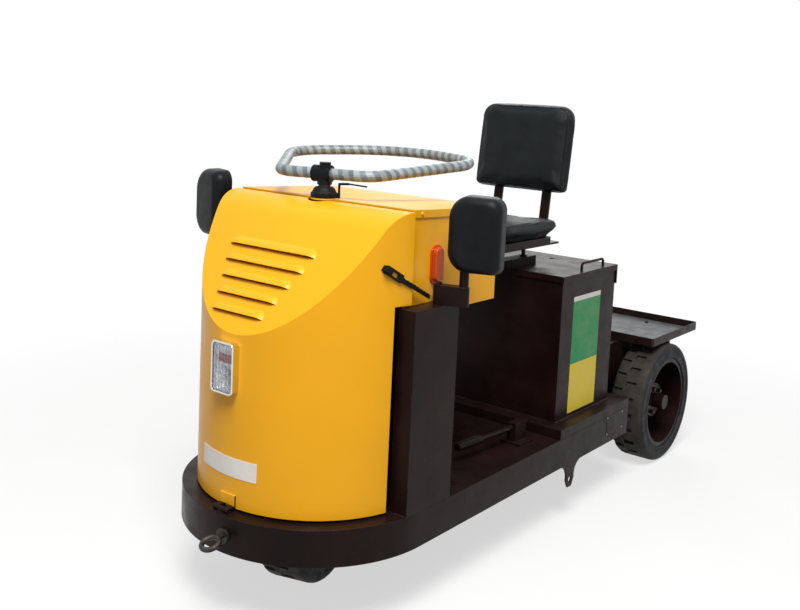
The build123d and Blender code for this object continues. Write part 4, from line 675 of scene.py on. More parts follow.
def finished(tree, geometry, given, end):
    """Last nodes of a tree: real instances, merged, with their finish."""
    real = add(tree, "GeometryNodeRealizeInstances", {0: geometry})
    merged = add(tree, "GeometryNodeMergeByDistance", {"Geometry": real, "Distance": 2e-6})
    dressed = add(tree, "GeometryNodeSetMaterial", {"Geometry": merged, "Material": given["Finish"]})
    tree.links.new(dressed.outputs[0], end.inputs[0])


def grown(name, mesh, tree, material, **values):
    """Plain mesh object that a tree makes from a mesh, a finish and values for its named inputs."""
    seed = shown(name + "_seed", mesh)
    nodes = seed.modifiers.new(name, "NODES")
    nodes.node_group = tree
    values["Finish"] = material
    for item in tree.interface.items_tree:
        if item.in_out == "INPUT" and item.name in values:
            nodes[item.identifier] = values[item.name]
    made = plain(seed, name)
    with opened(made.data, SHARP):
        pass
    return made


def spots_tree():
    """Tree that sets a template on each point, its Z along the point's facing and turned by its spin."""
    tree, given, end = new_tree("set_on_spots", Template=("Object", None), Size=("Float", 1.0))
    if given is None:
        return tree
    facing = add(tree, "GeometryNodeInputNamedAttribute", {"Name": "facing"}, data_type="FLOAT_VECTOR")
    spin = add(tree, "GeometryNodeInputNamedAttribute", {"Name": "spin"}, data_type="FLOAT")
    aimed = add(tree, "FunctionNodeAlignRotationToVector", {"Vector": facing.outputs["Attribute"]}, axis="Z")
    own = add(tree, "FunctionNodeAxisAngleToRotation",
              {"Axis": (0.0, 0.0, 1.0), "Angle": spin.outputs["Attribute"]})
    both = add(tree, "FunctionNodeRotateRotation", {0: aimed, 1: own}, rotation_space="LOCAL")
    template = add(tree, "GeometryNodeObjectInfo", {"Object": given["Template"]}).outputs["Geometry"]
    finished(tree, add(tree, "GeometryNodeInstanceOnPoints", {
        "Points": given["Geometry"], "Instance": template, "Rotation": both, "Scale": given["Size"]}), given, end)
    return tree


def scattered(name, template, spots, material):
    """Copies of a template on (point, facing, spin) spots, as one mesh."""
    mesh = bpy.data.meshes.new(name + "_spots")
    mesh.from_pydata([tuple(spot[0]) for spot in spots], [], [])
    mesh.attributes.new("facing", "FLOAT_VECTOR", "POINT")
    mesh.attributes.new("spin", "FLOAT", "POINT")
    for index, (_, facing, *spin) in enumerate(spots):
        mesh.attributes["facing"].data[index].vector = tuple(facing)
        mesh.attributes["spin"].data[index].value = spin[0] if spin else 0.0
    return grown(name, mesh, spots_tree(), material, Template=template)


def line_tree():
    """Tree that lays a round tube along a chain of points, its radius rippled along the way."""
    tree, given, end = new_tree("tube_on_line", Radius=("Float", 0.0025), Ripple=("Float", 0.0),
                                Pitch=("Float", 0.004), Sides=("Int", 10))
    if given is None:
        return tree
    curve = add(tree, "GeometryNodeMeshToCurve", {0: given["Geometry"]})
    along = add(tree, "GeometryNodeSplineParameter").outputs["Length"]
    turn = add(tree, "ShaderNodeMath", {0: along, 1: given["Pitch"]}, operation="DIVIDE")
    saw = add(tree, "ShaderNodeMath", {0: turn}, operation="FRACT")
    wave = add(tree, "ShaderNodeMath", {0: saw, 1: given["Ripple"]}, operation="MULTIPLY")
    scale = add(tree, "ShaderNodeMath", {0: 1.0, 1: wave}, operation="SUBTRACT")
    profile = add(tree, "GeometryNodeCurvePrimitiveCircle",
                  {"Resolution": given["Sides"], "Radius": given["Radius"]})
    finished(tree, add(tree, "GeometryNodeCurveToMesh", {
        "Curve": curve, "Profile Curve": profile, "Fill Caps": True, "Scale": scale}), given, end)
    return tree


def tube(name, points, radius, material, closed=False, ripple=0.0, pitch=0.004, sides=10):
    """Round tube along points in metres."""
    return grown(name, line_mesh(name + "_line", points, closed), line_tree(), material,
                 Radius=radius, Ripple=ripple, Pitch=pitch, Sides=sides)


def dress(node, sharp_deg=32):
    """Stand a merged copy of a CAD node in its place, with softly rounded edges and its finish."""
    mesh = frame["nodes"][node].data.copy()
    mesh.name = f"{node}_finished"
    with opened(mesh, sharp_deg) as form:
        bmesh.ops.remove_doubles(form, verts=form.verts, dist=2e-6)
        bmesh.ops.dissolve_limit(form, angle_limit=math.radians(0.4), verts=form.verts, edges=form.edges)
    made = shown(mesh.name, mesh)
    bevelled(made, size("edge_round"), sharp_deg)
    slot = slot_of(node)
    paint(made, MATERIALS[slot]())
    place(made, body_of(node), slot, node)


# Nodes that another piece than their own dressed copy stands for.
REPLACED = ("front_tyre", "rear_tyre_left", "rear_tyre_right", "steering_hoop", "seat_cushion", "backrest",
            "headlamp", "headlamp_lens", "mirror_heads", "mirror_glasses")


class TUG_OT_panels(bpy.types.Operator):
    """Finish the sheet metal, castings and mouldings that keep their own shape"""
    bl_idname = "tug.panels"
    bl_label = "Panels and frame"

    def execute(self, context):
        for node in sorted(frame["nodes"]):
            if node not in REPLACED:
                dress(node)
        self.blacken_hinge(bpy.data.objects["hood_finished"])
        return {"FINISHED"}

    def blacken_hinge(self, hood):
        """Paint the hinge knuckles at the hood's foot black, as the floor pan is."""
        hood.data.materials.append(black_enamel())
        front = at(0, HINGE_FRONT, HINGE_TOP)
        for face in hood.data.polygons:
            if face.center.y < front.y and face.center.z < front.z:
                face.material_index = 1


def tyre_section(floor):
    """Half section of a tyre, as (X, radius) from its bore out over the sidewall and shoulder to the crown."""
    middle, radius = (43, 186), 15
    start = math.asin((floor - middle[1]) / radius)
    turns = [start * 0.5] + [start + share * (math.pi / 2 - start) for share in (0.0, 0.35, 0.7)]
    shoulder = [(middle[0] + radius * math.cos(t), middle[1] + radius * math.sin(t)) for t in turns]
    wall = [(BORE_HALF, BORE_RADIUS), (BORE_HALF, 152), (58, 152), (58, 157), (56.8, 159), (56.8, 176), (58, 178),
            (58, 186)]
    return wall + shoulder + [(middle[0], TYRE_RADIUS)], len(shoulder)


def tyre_pitch(sizes):
    """One pitch of a tyre about X: sidewalls, shoulders and crown with a middle and an inner pocket."""
    floor = TYRE_RADIUS - sizes.pocket_depth / MM
    outer, shoulder = tyre_section(floor)
    crown = [(x, TYRE_RADIUS) for x in (23, -12, -20)]
    columns = outer + crown + [(-x, r) for x, r in reversed(outer)]
    rows = (0.0, 0.09, 0.41, 0.5, 0.59, 0.91, 1.0)
    pockets = {1: [len(outer)], 4: list(range(len(outer) + 2, len(outer) + 2 + shoulder))}
    verts, faces, marks = [], [], []

    def corner(x, radius, row):
        angle = 2 * math.pi * rows[row] / sizes.tread_pitches
        verts.append(Vector((x, -radius * math.sin(angle), radius * math.cos(angle))) * MM)
        marks.append(1.0 if radius > 192.5 or (radius >= floor - 0.5 and abs(x) < 56) else 0.0)
        return len(verts) - 1

    def face(*corners):
        faces.append([corner(*spot) for spot in corners])

    for row in range(len(rows) - 1):
        for step in range(len(columns) - 1):
            (xa, ra), (xb, rb) = columns[step], columns[step + 1]
            pocket = pockets.get(row, [])
            if step not in pocket:
                face((xa, ra, row), (xb, rb, row), (xb, rb, row + 1), (xa, ra, row + 1))
                continue
            face((xa, floor, row), (xb, floor, row), (xb, floor, row + 1), (xa, floor, row + 1))
            for side in (row, row + 1):
                if rb - floor > 0.01:
                    face((xa, ra, side), (xb, rb, side), (xb, floor, side), (xa, floor, side))
                else:
                    face((xa, ra, side), (xb, rb, side), (xa, floor, side))
            if step == pocket[0]:
                face((xa, ra, row), (xa, ra, row + 1), (xa, floor, row + 1), (xa, floor, row))
            if row == 1:
                face((xb, rb, row), (xb, rb, row + 1), (xb, floor, row + 1), (xb, floor, row))
        face(*((x, BORE_RADIUS, end) for x, end in ((-BORE_HALF, row), (BORE_HALF, row), (BORE_HALF, row + 1),
                                                    (-BORE_HALF, row + 1))))
    mesh = bpy.data.meshes.new("tyre_pitch")
    mesh.from_pydata([tuple(v) for v in verts], [], faces)
    tread = mesh.attributes.new("tread", "FLOAT", "POINT")
    for index, mark in enumerate(marks):
        tread.data[index].value = mark
    return mesh


def ring_tree():
    """Tree that turns a piece about X as often as there are pitches."""
    tree, given, end = new_tree("ring_of_pitches", Pitches=("Int", 24))
    if given is None:
        return tree
    spots = add(tree, "GeometryNodeMeshLine", {"Count": given["Pitches"], "Offset": (0.0, 0.0, 0.0)})
    share = add(tree, "ShaderNodeMath", {0: add(tree, "GeometryNodeInputIndex"), 1: given["Pitches"]},
                operation="DIVIDE")
    turn = add(tree, "ShaderNodeMath", {0: share, 1: 2 * math.pi}, operation="MULTIPLY")
    lean = add(tree, "FunctionNodeAxisAngleToRotation", {"Axis": (1.0, 0.0, 0.0), "Angle": turn})
    finished(tree, add(tree, "GeometryNodeInstanceOnPoints", {
        "Points": spots, "Instance": given["Geometry"], "Rotation": lean}), given, end)
    return tree


# Node, centre and turn about Z of each tyre; a tyre's outer side is its own +X.
WHEELS = (("front_tyre", at(0, STEER_Y, AXLE_Z), STEER_REST), ("rear_tyre_left", at(REAR_TYRE_X, 0, AXLE_Z), 0.0),
          ("rear_tyre_right", at(-REAR_TYRE_X, 0, AXLE_Z), math.pi))


class TUG_OT_tyres(bpy.types.Operator):
    """Mould the three solid tyres with pockets in their tread"""
    bl_idname = "tug.tyres"
    bl_label = "Tyres"

    def execute(self, context):
        sizes = context.scene.tug_sizes
        for node, centre, turn in WHEELS:
            made = grown(f"{node}_finished", tyre_pitch(sizes), ring_tree(), tyre_rubber(),
                         Pitches=sizes.tread_pitches)
            with opened(made.data, SHARP) as form:
                bmesh.ops.recalc_face_normals(form, faces=form.faces)
            made.data.transform(Matrix.Translation(centre) @ Matrix.Rotation(turn, 4, "Z"))
            bevelled(made, 1.2 * MM, segments=1)
            place(made, body_of(node), "tyre_rubber", node)
        return {"FINISHED"}


def rounded_path(points, radii, step):
    """Points about a step apart along a closed, rounded polygon, from mid way along its first side."""
    count = len(points)
    corners = [Vector(p) for p in points]
    trail = [(corners[0] + corners[1]) / 2]
    for index in range(1, count + 1):
        corner = corners[index % count]
        before = (corners[index - 1] - corner).normalized()
        after = (corners[(index + 1) % count] - corner).normalized()
        half = before.angle(after) / 2
        radius = radii[index % count]
        centre = corner + (before + after).normalized() * (radius / math.sin(half))
        start = corner + before * (radius / math.tan(half))
        end = corner + after * (radius / math.tan(half))
        steps = max(2, round(radius * (math.pi - 2 * half) / step))
        straight(trail, start, step)
        whole = (start - centre).angle(end - centre)
        for turn in range(1, steps + 1):
            share = turn / steps
            trail.append(centre + ((start - centre) * math.sin((1 - share) * whole)
                                   + (end - centre) * math.sin(share * whole)) / math.sin(whole))
    straight(trail, (corners[0] + corners[1]) / 2, step)
    return trail


def straight(trail, end, step):
    """Add points about a step apart from a trail's end to a point."""
    start = trail[-1]
    steps = max(1, round((end - start).length / step))
    for index in range(1, steps + 1):
        trail.append(start.lerp(end, index / steps))


def hoop_tree():
    """Tree that lays a tube on the hoop's line and laps the turns of tape on it, with their lay as a UV map."""
    tree, given, end = new_tree("taped_hoop", **{"Radius": ("Float", 0.0134), "Tape width": ("Float", 0.014),
                                                 "Tape lift": ("Float", 0.0007)})
    if given is None:
        return tree
    curve = add(tree, "GeometryNodeMeshToCurve", {0: given["Geometry"]})
    path = add(tree, "GeometryNodeSplineParameter")
    marked = add(tree, "GeometryNodeStoreNamedAttribute",
                 {"Geometry": curve, "Name": "along", "Value": path.outputs["Length"]}, data_type="FLOAT")
    ring = add(tree, "GeometryNodeCurveArc", {"Resolution": 33, "Radius": given["Radius"], "Start Angle": 0.0,
                                              "Sweep Angle": 2 * math.pi}, mode="RADIUS")
    part = add(tree, "GeometryNodeSplineParameter")
    rounded = add(tree, "GeometryNodeStoreNamedAttribute",
                  {"Geometry": ring, "Name": "round", "Value": part.outputs["Factor"]}, data_type="FLOAT")
    tubed = add(tree, "GeometryNodeCurveToMesh", {"Curve": marked, "Profile Curve": rounded})
    along, turn = (add(tree, "GeometryNodeInputNamedAttribute", {"Name": name},
                       data_type="FLOAT").outputs["Attribute"] for name in ("along", "round"))
    lay = add(tree, "ShaderNodeCombineXYZ", {"X": along, "Y": turn})
    mapped = add(tree, "GeometryNodeStoreNamedAttribute", {"Geometry": tubed, "Name": "wound", "Value": lay},
                 data_type="FLOAT2", domain="CORNER")
    laps = add(tree, "ShaderNodeMath", {0: along, 1: given["Tape width"]}, operation="DIVIDE")
    twice = add(tree, "ShaderNodeMath", {0: turn, 1: 2.0}, operation="MULTIPLY")
    phase = add(tree, "ShaderNodeMath", {0: laps, 1: twice}, operation="SUBTRACT")
    saw = add(tree, "ShaderNodeMath", {0: phase}, operation="FRACT")
    lift = add(tree, "ShaderNodeMath", {0: saw, 1: given["Tape lift"]}, operation="MULTIPLY")
    offset = add(tree, "ShaderNodeVectorMath", {0: add(tree, "GeometryNodeInputNormal"), "Scale": lift},
                 operation="SCALE")
    finished(tree, add(tree, "GeometryNodeSetPosition", {"Geometry": mapped, "Offset": offset}), given, end)
    return tree


# Corners of the hoop seen from above with the wheel straight, its own front at the origin, and their radii.
HOOP_CORNERS = ((-125, 0), (125, 0), (285, 360), (0, 525), (-285, 360))
HOOP_ROUNDS = (60, 60, 100, 300, 100)
HOOP_LEAN = math.radians(4.2)
HOOP_TUBE = 13.4


class TUG_OT_hoop(bpy.types.Operator):
    """Wind the steering hoop in two colours of tape"""
    bl_idname = "tug.hoop"
    bl_label = "Steering hoop"

    def execute(self, context):
        sizes = context.scene.tug_sizes
        lean = Matrix.Rotation(STEER_REST, 4, "Z") @ Matrix.Rotation(HOOP_LEAN, 4, "X")
        line = [at(0, STEER_Y, HOOP_Z) + lean @ (Vector((p.x, p.y, 0)) * MM)
                for p in rounded_path(HOOP_CORNERS, HOOP_ROUNDS, 2.5)]
        line[-1] = line[0]
        made = grown("steering_hoop_finished", line_mesh("hoop_line", line), hoop_tree(), wound_tape(),
                     **{"Radius": HOOP_TUBE * MM, "Tape width": sizes.tape_width, "Tape lift": sizes.tape_lift})
        place(made, body_of("steering_hoop"), "banded_tube", "steering_hoop")
        return {"FINISHED"}


# Millimetres between the points of a padded form, and the pressure and the steps that blow it up.
SKIN_GRID = 6.0
STUFFING_PRESSURE = 4.0
STUFFING_STEPS = 20


def stuffed(name, form, board, cap_mm):
    """Padded form: a slightly small closed form blown up by a cloth simulation, held where it meets its board."""
    even = form.modifiers.new("even_skin", "REMESH")
    even.mode = "VOXEL"
    even.voxel_size = SKIN_GRID * MM
    body = plain(form, name)
    start = [vertex.co.copy() for vertex in body.data.vertices]
    held = body.vertex_groups.new(name="board")
    held.add([vertex.index for vertex in body.data.vertices if board(vertex.co)], 1.0, "REPLACE")
    cloth = body.modifiers.new("stuffing", "CLOTH")
    cloth.settings.use_pressure = True
    cloth.settings.uniform_pressure_force = STUFFING_PRESSURE
    cloth.settings.effector_weights.gravity = 0.0
    cloth.settings.vertex_group_mass = "board"
    scene = bpy.context.scene
    for step in range(STUFFING_STEPS):
        scene.frame_set(step + 1)
    blown = body.evaluated_get(bpy.context.evaluated_depsgraph_get())
    for index, vertex in enumerate(blown.data.vertices):
        shift = vertex.co - start[index]
        body.data.vertices[index].co = start[index] + shift.normalized() * min(shift.length, cap_mm * MM)
    body.modifiers.remove(cloth)
    body.vertex_groups.clear()
    scene.frame_set(1)
    ease = body.modifiers.new("ease", "SMOOTH")
    ease.factor = 0.5
    ease.iterations = 6
    skin = body.modifiers.new("skin", "SUBSURF")
    skin.levels = skin.render_levels = 1
    return plain(body, name)


def pulled_in(obj, line, depth_mm, half_mm):
    """Press a sewn channel along a closed line into a padded form."""
    count = len(line)
    tree = BVHTree.FromPolygons(line + [p + Vector((1e-5, 1e-5, 1e-5)) for p in line],
                                [(i, (i + 1) % count, count + i) for i in range(count)])
    with opened(obj.data) as form:
        form.normal_update()
        for vertex in form.verts:
            far = tree.find_nearest(vertex.co, 4 * half_mm * MM)[3]
            if far is not None:
                vertex.co -= vertex.normal * depth_mm * MM * math.exp(-(far / (half_mm * MM)) ** 2)


def on_skin(obj, line, lift=0.0):
    """Line moved onto the nearest places of an object's skin, and lifted off it."""
    form = bmesh.new()
    form.from_mesh(obj.data)
    tree = BVHTree.FromBMesh(form)
    form.free()
    return [spot + normal * lift for spot, normal, _, _ in map(tree.find_nearest, line)]


def seam_line(obj, line, lift):
    """Closed line laid on an object's skin and eased along its way."""
    line = on_skin(obj, line, lift)
    for _ in range(3):
        line = [(line[i - 1] + 2 * line[i] + line[(i + 1) % len(line)]) / 4 for i in range(len(line))]
    return line


def stitch_tree():
    """Tree that lays one stitch at an even pitch along a line."""
    tree, given, end = new_tree("stitches_on_line", Stitch=("Object", None), Pitch=("Float", 0.006))
    if given is None:
        return tree
    curve = add(tree, "GeometryNodeMeshToCurve", {0: given["Geometry"]})
    spots = add(tree, "GeometryNodeCurveToPoints", {"Curve": curve, "Length": given["Pitch"]}, mode="LENGTH")
    stitch = add(tree, "GeometryNodeObjectInfo", {"Object": given["Stitch"]}).outputs["Geometry"]
    finished(tree, add(tree, "GeometryNodeInstanceOnPoints", {
        "Points": spots, "Instance": stitch, "Rotation": spots.outputs["Rotation"]}), given, end)
    return tree


def sewn(name, line):
    """Row of stitches on a closed line."""
    stitch = turned("stitch", ((0.05, -2.0), (0.45, -1.6), (0.5, 0.0), (0.45, 1.6), (0.05, 2.0)), 6)
    made = grown(name, line_mesh(name + "_line", line, True), stitch_tree(), MATERIALS["thread"](), Stitch=stitch)
    clear(stitch)
    return made


CUSHION_HALF = (193.0, 165.5)
CUSHION_ROUND = 45.0
CUSHION_CENTRE = (0.0, -707.5)
BACK_HALF = (165.0, 135.0)
BACK_MIDDLE = 1065.0
BACK_REAR = -500.0


def cushion_outline(inset):
    """Outline of the cushion at an inset."""
    return rounded_outline(CUSHION_HALF[0] - inset, CUSHION_HALF[1] - inset, max(CUSHION_ROUND - inset, 12.0), 10)


def cushion_line(inset, high):
    """Closed line round the cushion at an inset and a height."""
    x, y = CUSHION_CENTRE
    return [at(x + px, y + py, high) for px, py in cushion_outline(inset)]


def back_lean():
    """Matrix that leans a point of the backrest back about the foot of its bars."""
    pivot = Matrix.Translation(at(0, BACK_REAR, SEAT_PLATE_Z))
    return pivot @ Matrix.Rotation(-BACK_LEAN, 4, "X") @ pivot.inverted()


def back_frame():
    """Matrix of the backrest: its Z forwards out of the padded face."""
    return back_lean() @ upright(at(0, BACK_REAR, BACK_MIDDLE), (0, -1, 0))


def back_outline(inset):
    """Outline of the backrest at an inset, rounder at the top."""
    radii = [max(48.0 - inset, 6.0)] * 2 + [max(18.0 - inset, 6.0)] * 2
    return rounded_outline(BACK_HALF[0] - inset, BACK_HALF[1] - inset, radii, 10)


def back_line(inset, depth):
    """Closed line round the backrest at an inset and a depth in front of its rear face."""
    return [back_frame() @ (Vector((x, y, depth)) * MM) for x, y in back_outline(inset)]


class TUG_OT_seat(bpy.types.Operator):
    """Stuff the cushion and the backrest, and sew their piping and seams"""
    bl_idname = "tug.seat"
    bl_label = "Seat"

    def execute(self, context):
        vinyl = seat_vinyl()
        self.cushion(vinyl)
        self.back(vinyl)
        return {"FINISHED"}

    def cushion(self, vinyl):
        """Cushion with a rolled edge, a dished middle and an underside pulled in to its pan."""
        body = body_of("seat_cushion")
        layers = ((42, 806), (30, 810), (12, 822), (4, 832), (3, 844), (9, 850), (22, 852), (46, 846), (90, 843))
        form = layered("cushion_form", [(cushion_outline(inset), high) for inset, high in layers],
                       Matrix.Translation(at(*CUSHION_CENTRE, 0)), merge=False)
        pad = stuffed("seat_cushion_finished", form, lambda co: co.z < 809 * MM, 7.0)
        pulled_in(pad, cushion_line(34, 853), 3.0, 5.0)
        paint(pad, vinyl)
        place(pad, body, "black_vinyl", "seat_cushion")
        edge = seam_line(pad, cushion_line(3, 838), 0.5 * MM)
        place(tube("seat_cushion_piping", edge, size("piping"), vinyl, closed=True), body, "black_vinyl")
        seam = seam_line(pad, cushion_line(34, 853), 0.2 * MM)
        place(sewn("seat_cushion_stitches", seam), body, "black_vinyl")

    def back(self, vinyl):
        """Backrest with a soft front face and a seam round its edge."""
        body = body_of("backrest")
        layers = ((5, 0), (1, 3), (0, 9), (0, 24), (2, 33), (8, 39), (22, 42), (60, 43))
        form = layered("back_form", [(back_outline(inset), high) for inset, high in layers], back_frame())
        behind = back_frame().inverted()
        pad = stuffed("backrest_finished", form, lambda co: (behind @ co).z < 5 * MM, 5.0)
        rim = back_line(7, 36)
        pulled_in(pad, on_skin(pad, rim), 1.6, 3.0)
        paint(pad, vinyl)
        place(pad, body, "black_vinyl", "backrest")
        thin = 0.7 * size("piping")
        front = seam_line(pad, rim, 0.3 * MM)
        place(tube("backrest_piping", front, thin, vinyl, closed=True), body, "black_vinyl")
        place(sewn("backrest_stitches", seam_line(pad, back_line(14, 42), 0.1 * MM)), body, "black_vinyl")
        rear = seam_line(pad, back_line(2, 2.0), 0.2 * MM)
        place(tube("backrest_rear_piping", rear, thin, vinyl, closed=True), body, "black_vinyl")


LAMP_LOW = 526.0
LAMP_HIGH = 644.0
LAMP_HALF = 35.5
LAMP_ROUND = 11.0
LAMP_X = -13.0
LAMP_FLOOR = HOOD_FACE - 5.0
BULB_Z = 562.0
RED_LENS_Z = 606.0


def lamp_part(name, inset, layers, material, slot):
    """Form in the headlamp: layers of (inset, depth in front of the floor of its pocket)."""
    half_z = (LAMP_HIGH - LAMP_LOW) / 2
    outlines = [(rounded_outline(LAMP_HALF - inset - more, half_z - inset - more,
                                 max(LAMP_ROUND - inset - more, 2.0), 6), depth) for more, depth in layers]
    made = layered(name, outlines, upright(at(LAMP_X, LAMP_FLOOR, (LAMP_LOW + LAMP_HIGH) / 2), (0, -1, 0)))
    paint(made, material)
    return place(made, body_of("headlamp_lens"), slot)


class TUG_OT_lamps(bpy.types.Operator):
    """Fit the headlamp with its shell, reflector, bulb, inner red lens and fluted glass"""
    bl_idname = "tug.lamps"
    bl_label = "Lamps"

    def execute(self, context):
        chrome = MATERIALS["chrome"]()
        shell = lamp_part("headlamp_shell", 0.0, (
            (0, -6.0), (0, 10.0), (-0.6, 11.2), (-0.6, 13.0), (0.6, 14.6), (2.4, 14.8), (3.8, 13.8), (4.4, 12.0),
            (4.4, 0.4)), chrome, "chrome")
        self.seat_on_nose(shell)
        self.hollow(shell)
        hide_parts("headlamp")
        glass = lamp_part("headlamp_glass", 4.6, ((0, 8.0), (0, 10.6), (2, 12.0), (8, 12.8)), ribbed_lens(),
                          "clear_lens")
        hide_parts("headlamp_lens")
        self.reflector(chrome)
        band = slab("headlamp_red_lens", ((23, 9, 4, 0.8), (23, 9, 4, 5.6), (21, 7, 3, 7.2)), 5,
                    upright(at(LAMP_X + 6, LAMP_FLOOR, RED_LENS_Z), (0, -1, 0)))
        paint(band, MATERIALS["red_lens"]())
        place(band, body_of("headlamp_lens"), "red_lens")
        return {"FINISHED"}

    def seat_on_nose(self, shell):
        """Lay the back edge of the shell on the round nose of the hood."""
        back = at(0, LAMP_FLOOR + 6.0, 0).y
        for vert in shell.data.vertices:
            if abs(vert.co.y - back) < 1e-5:
                reach = math.sqrt(HOOD_RADIUS ** 2 - (vert.co.x / MM) ** 2)
                vert.co.y = at(0, NOSE_Y - reach + 0.4, 0).y

    def hollow(self, rim):
        """Open a rim: its two end faces are taken out and its wall closed on itself."""
        with opened(rim.data, SHARP) as form:
            form.faces.ensure_lookup_table()
            ends = sorted(form.faces, key=lambda face: -len(face.verts))[:2]
            bmesh.ops.delete(form, geom=ends, context="FACES_ONLY")
            bmesh.ops.bridge_loops(form, edges=[edge for edge in form.edges if edge.is_boundary])
            bmesh.ops.recalc_face_normals(form, faces=form.faces)

    def reflector(self, chrome):
        """Bright bowl with its bulb on a bright back plate."""
        body = body_of("headlamp_lens")
        lamp_part("headlamp_back", 4.6, ((0, 0.2), (0, 1.0)), chrome, "chrome")
        bowl = turned("bowl", ((4, 1.2), (6, 1.4), (14, 3.0), (22, 6.4), (24, 6.8), (24, 6.1), (22.4, 5.6),
                               (15, 2.4), (6, 0.8), (4, 0.8)), 40)
        bulb = turned("bulb", ((1.0, 0.5), (5, 0.6), (5, 3), (6.2, 4.6), (5.4, 6), (3, 6.8), (0.5, 7.0)), 20)
        spots = [(at(LAMP_X, LAMP_FLOOR, BULB_Z), (0, -1, 0))]
        place(scattered("headlamp_bowl", bowl, spots, chrome), body, "chrome")
        place(scattered("headlamp_bulb", bulb, spots, MATERIALS["white_plate"]()), body, "clear_lens")
        clear(bowl, bulb)


# Side and Y of each mirror, the X and Z of their middles, and how far their sides bow out.
MIRRORS = ((1, -1314.0), (-1, -1414.0))
MIRROR_X = 390.5
MIRROR_Z = 902.0
MIRROR_HALF = (66.0, 90.0)
MIRROR_BOW = 3.0


class TUG_OT_mirrors(bpy.types.Operator):
    """Mould the two mirrors with domed shells, each turned a little outwards so that its glass faces the seat"""
    bl_idname = "tug.mirrors"
    bl_label = "Mirrors"

    def execute(self, context):
        shell_layers = [(7, 4.0), (7, 0.8), (5.6, 0.0), (1.4, 0.0), (0, 1.2), (0.8, 22)]
        for step in range(1, 13):
            angle = step / 12 * math.pi / 2
            shell_layers.append((0.8 + 22 * (1 - math.cos(angle)), 22 + 27 * math.sin(angle)))
        pane_layers = ((7.6, 1.2), (7.4, 1.5), (7.4, 3.6))
        turn = size("mirror_turn")
        for name, layers, sharp_deg, slot, node in (
                ("mirror_shells", shell_layers, 50, "black_plastic", "mirror_heads"),
                ("mirror_panes", pane_layers, SHARP, "mirror_glass", "mirror_glasses")):
            pieces = []
            for side, y in MIRRORS:
                ahead = Vector((side * math.sin(turn), -math.cos(turn), 0))
                spot = at(side * MIRROR_X, y, MIRROR_Z) - ahead * 25 * MM
                piece = layered("mirror_piece", [self.outline(*layer) for layer in layers], upright(spot, ahead),
                                sharp_deg)
                paint(piece, MATERIALS[slot]())
                pieces.append(piece)
            place(joined(name, pieces), body_of("mirror_heads"), slot, node)
        return {"FINISHED"}

    def outline(self, inset, depth):
        """Bowed outline of a mirror drawn in by an inset, its inner corners rounder, at a depth."""
        radii = [max(radius - 0.5 * inset, 7.0) for radius in (26.0, 46.0, 44.0, 16.0)]
        half_x, half_z = MIRROR_HALF[0] - inset, MIRROR_HALF[1] - inset
        points = []
        for x, z in rounded_outline(half_x, half_z, radii, 10):
            points.append((x - MIRROR_BOW * (z / half_z) ** 2 * math.copysign(1, x),
                           z - MIRROR_BOW * (x / half_x) ** 2 * math.copysign(1, z)))
        return points, depth


SUNK = 0.2  # millimetres that a fastener's foot stands in its sheet


def fastener(name, across, parts):
    """Form of parts turned about Z, each (sides, profile in shares of the width across)."""
    pieces = []
    for sides, profile in parts:
        points = [(radius * across, max(height * across, -SUNK)) for radius, height in profile]
        pieces.append(turned(name, points, sides))
    return joined(name, pieces)


# Hexagon bolt head on its washer, domed screw with a cross recess, and hexagon nut on the end of its thread.
BOLT = ((24, ((0.3, -1.0), (1.1, 0.0), (1.1, 0.16), (0.3, 0.2))),
        (6, ((0.5, 0.0), (1.0, 0.1), (1.0, 0.72), (0.86, 0.84), (0.2, 0.86))))
SCREW = ((18, ((0.3, -1.0), (1.0, 0.0), (1.0, 0.15), (0.9, 0.42), (0.6, 0.62), (0.28, 0.68), (0.2, 0.4),
               (0.05, 0.36))),)
NUT = ((14, ((0.2, 0.0), (0.55, 0.0), (0.55, 1.3), (0.45, 1.4), (0.1, 1.4))),
       (6, ((0.5, 0.0), (1.0, 0.1), (1.0, 0.75), (0.86, 0.85), (0.3, 0.85))))


def rows(xs, ys, zs, facing, spin=0.3):
    """Spots at every mix of X, Y and Z values in millimetres, all facing one way."""
    return [(at(x, y, z), facing, spin * (1 + i + j + k)) for i, x in enumerate(xs) for j, y in enumerate(ys)
            for k, z in enumerate(zs)]


def on_sides(x, heights, spin):
    """Spots on both sides of the vehicle, for a series of (Y, Z) in millimetres."""
    return [(at(side * x, y, z), (side, 0, 0), spin * n) for side in SIDES for n, (y, z) in enumerate(heights)]


